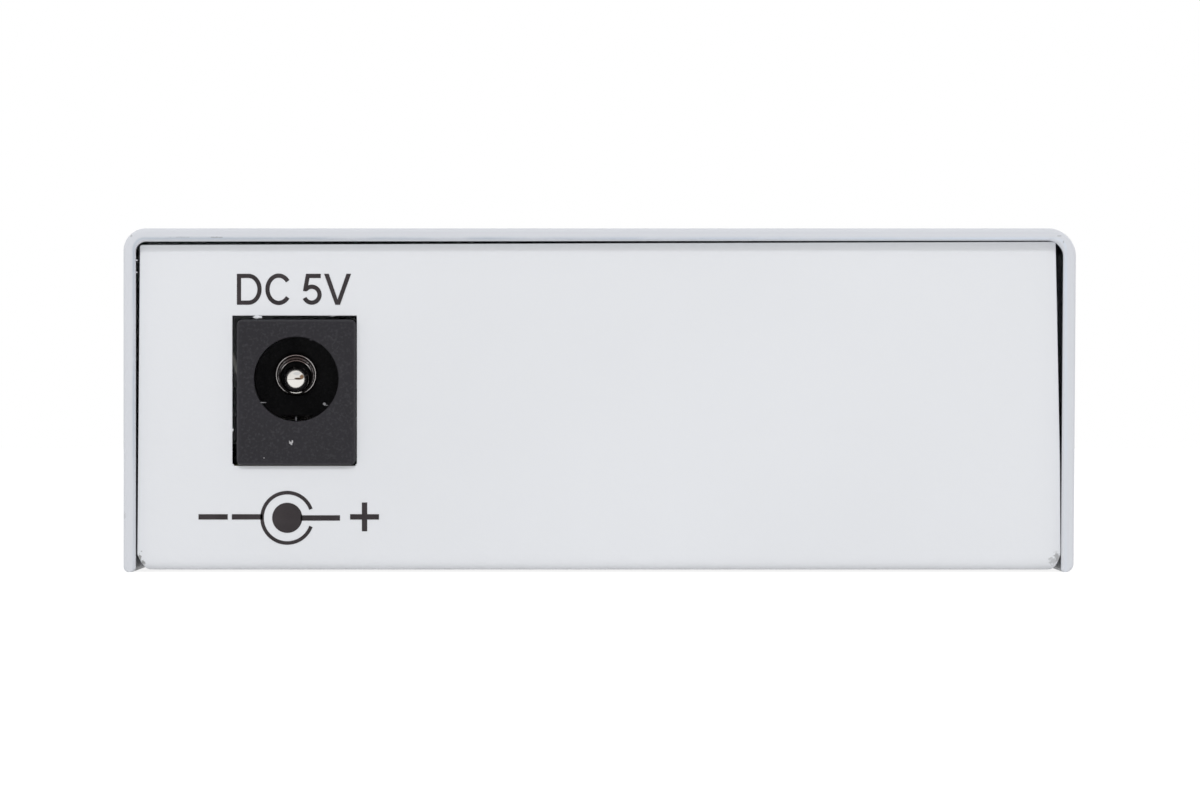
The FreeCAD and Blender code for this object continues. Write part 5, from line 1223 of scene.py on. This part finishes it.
dressed = {
    "power_inlet_spring": terminalTin, "power_inlet_switch_contact": terminalTin, "circuit_board": solderMask,
    "network_transformer": epoxy, "network_transformer_leads": terminalTin, "laser_can": sleeveSteel,
    "photodiode_can": sleeveSteel, "transceiver_board": solderMask, "transceiver_pins": contactGold,
    "lamp_holder": socketPlastic, "converter_chip": epoxy, "converter_chip_leads": terminalTin, "regulator": epoxy,
    "regulator_leads": terminalTin, "inductor": epoxy, "inductor_terminals": terminalTin,
    "capacitor_bases": socketPlastic, "capacitor_cans": canAluminium, "crystal": shieldTin,
    "chip_resistors": epoxy, "chip_capacitors": firedCeramic,
}
for nodeName, material in dressed.items():
    paintAll(cadNodes[nodeName], material)
print("CAD pieces dressed:", len(dressed))

# Floor, light and camera

stageLook = {
    "floorSize": 6.0, "floorGlow": 0.87, "floorSeen": 0.24, "floorBounce": 0.96, "ambient": 0.53,
}


def looked(tree):
    # 1 where the camera sees the surface, also through glass or as a reflection
    path = tree.nodes.new("ShaderNodeLightPath").outputs
    return value(tree, "MAXIMUM", path["Is Camera Ray"],
                 value(tree, "MAXIMUM", path["Is Glossy Ray"], path["Is Transmission Ray"]))


def makeFloor(look):
    shape = bmesh.new()
    bmesh.ops.create_grid(shape, x_segments=1, y_segments=1, size=look["floorSize"])
    floor = addObject("floor", meshOf("floor", shape))
    material = bpy.data.materials.new("paleFloor")
    material.use_nodes = True
    tree = material.node_tree
    tree.nodes.clear()
    seen = looked(tree)
    glow = outOf(tree, "ShaderNodeEmission", {"Strength": value(tree, "MULTIPLY", seen, look["floorGlow"])})
    bounce, shown = [(*[look[key]] * 3, 1.0) for key in ("floorBounce", "floorSeen")]
    matt = outOf(tree, "ShaderNodeBsdfDiffuse", {"Color": mixColour(tree, seen, bounce, shown)})
    both = outOf(tree, "ShaderNodeAddShader", {0: glow, 1: matt})
    put(tree, "ShaderNodeOutputMaterial", {"Surface": both})
    paintAll(floor, material)


def makeWorld(look):
    world = bpy.data.worlds.new("studio")
    bpy.context.scene.world = world
    world.use_nodes = True
    tree = world.node_tree
    background = tree.nodes["Background"]
    background.inputs["Color"].default_value = (1.0, 1.0, 1.0, 1.0)
    strength = value(tree, "MULTIPLY_ADD", looked(tree), 1.0 - look["ambient"], look["ambient"])
    tree.links.new(strength, background.inputs["Strength"])


suns = [
    {"name": "keyLight", "from": (-0.12, -1.0, 1.0), "strength": 0.45, "spread": 32.0, "matt": True},
    {"name": "topLight", "from": (-0.05, -1.0, 1.15), "strength": 0.86, "spread": 7.0, "matt": True},
    {"name": "fillRight", "from": (1.0, 0.35, 0.55), "strength": 0.32, "spread": 60.0},
    {"name": "fillLeft", "from": (-1.0, 0.3, 0.5), "strength": 0.28, "spread": 60.0},
    {"name": "fillBehind", "from": (0.2, 1.0, 0.6), "strength": 0.46, "spread": 60.0},
]


def makeSuns(rows):
    for row in rows:
        lamp = bpy.data.lights.new(row["name"], "SUN")
        lamp.energy = row["strength"]
        lamp.angle = math.radians(row["spread"])
        obj = addObject(row["name"], lamp)
        obj.rotation_mode = "QUATERNION"
        obj.rotation_quaternion = Vector(row["from"]).to_track_quat("Z", "Y")
        obj.visible_glossy = not row.get("matt", False)  # a matt lamp leaves no glint


cameraLook = {
    "distance": 2.4, "pictureWidth": 90.71 * mm, "face": -47.0 * mm, "x": 0.02 * mm, "z": 12.98 * mm,
    "sensor": 36.0, "clips": (0.1, 20.0),
}


def makeCamera(look):
    data = bpy.data.cameras.new("camera")
    data.sensor_width = look["sensor"]
    data.lens = look["sensor"] * look["distance"] / look["pictureWidth"]
    data.clip_start, data.clip_end = look["clips"]
    camera = addObject("camera", data)
    camera.location = (look["x"], look["face"] - look["distance"], look["z"])
    camera.rotation_euler = (math.pi / 2, 0.0, 0.0)
    bpy.context.scene.camera = camera


makeFloor(stageLook)
makeWorld(stageLook)
makeSuns(suns)
makeCamera(cameraLook)
bpy.context.scene.view_settings.view_transform = "Standard"
print("stage set")

bpy.context.view_layer.update()
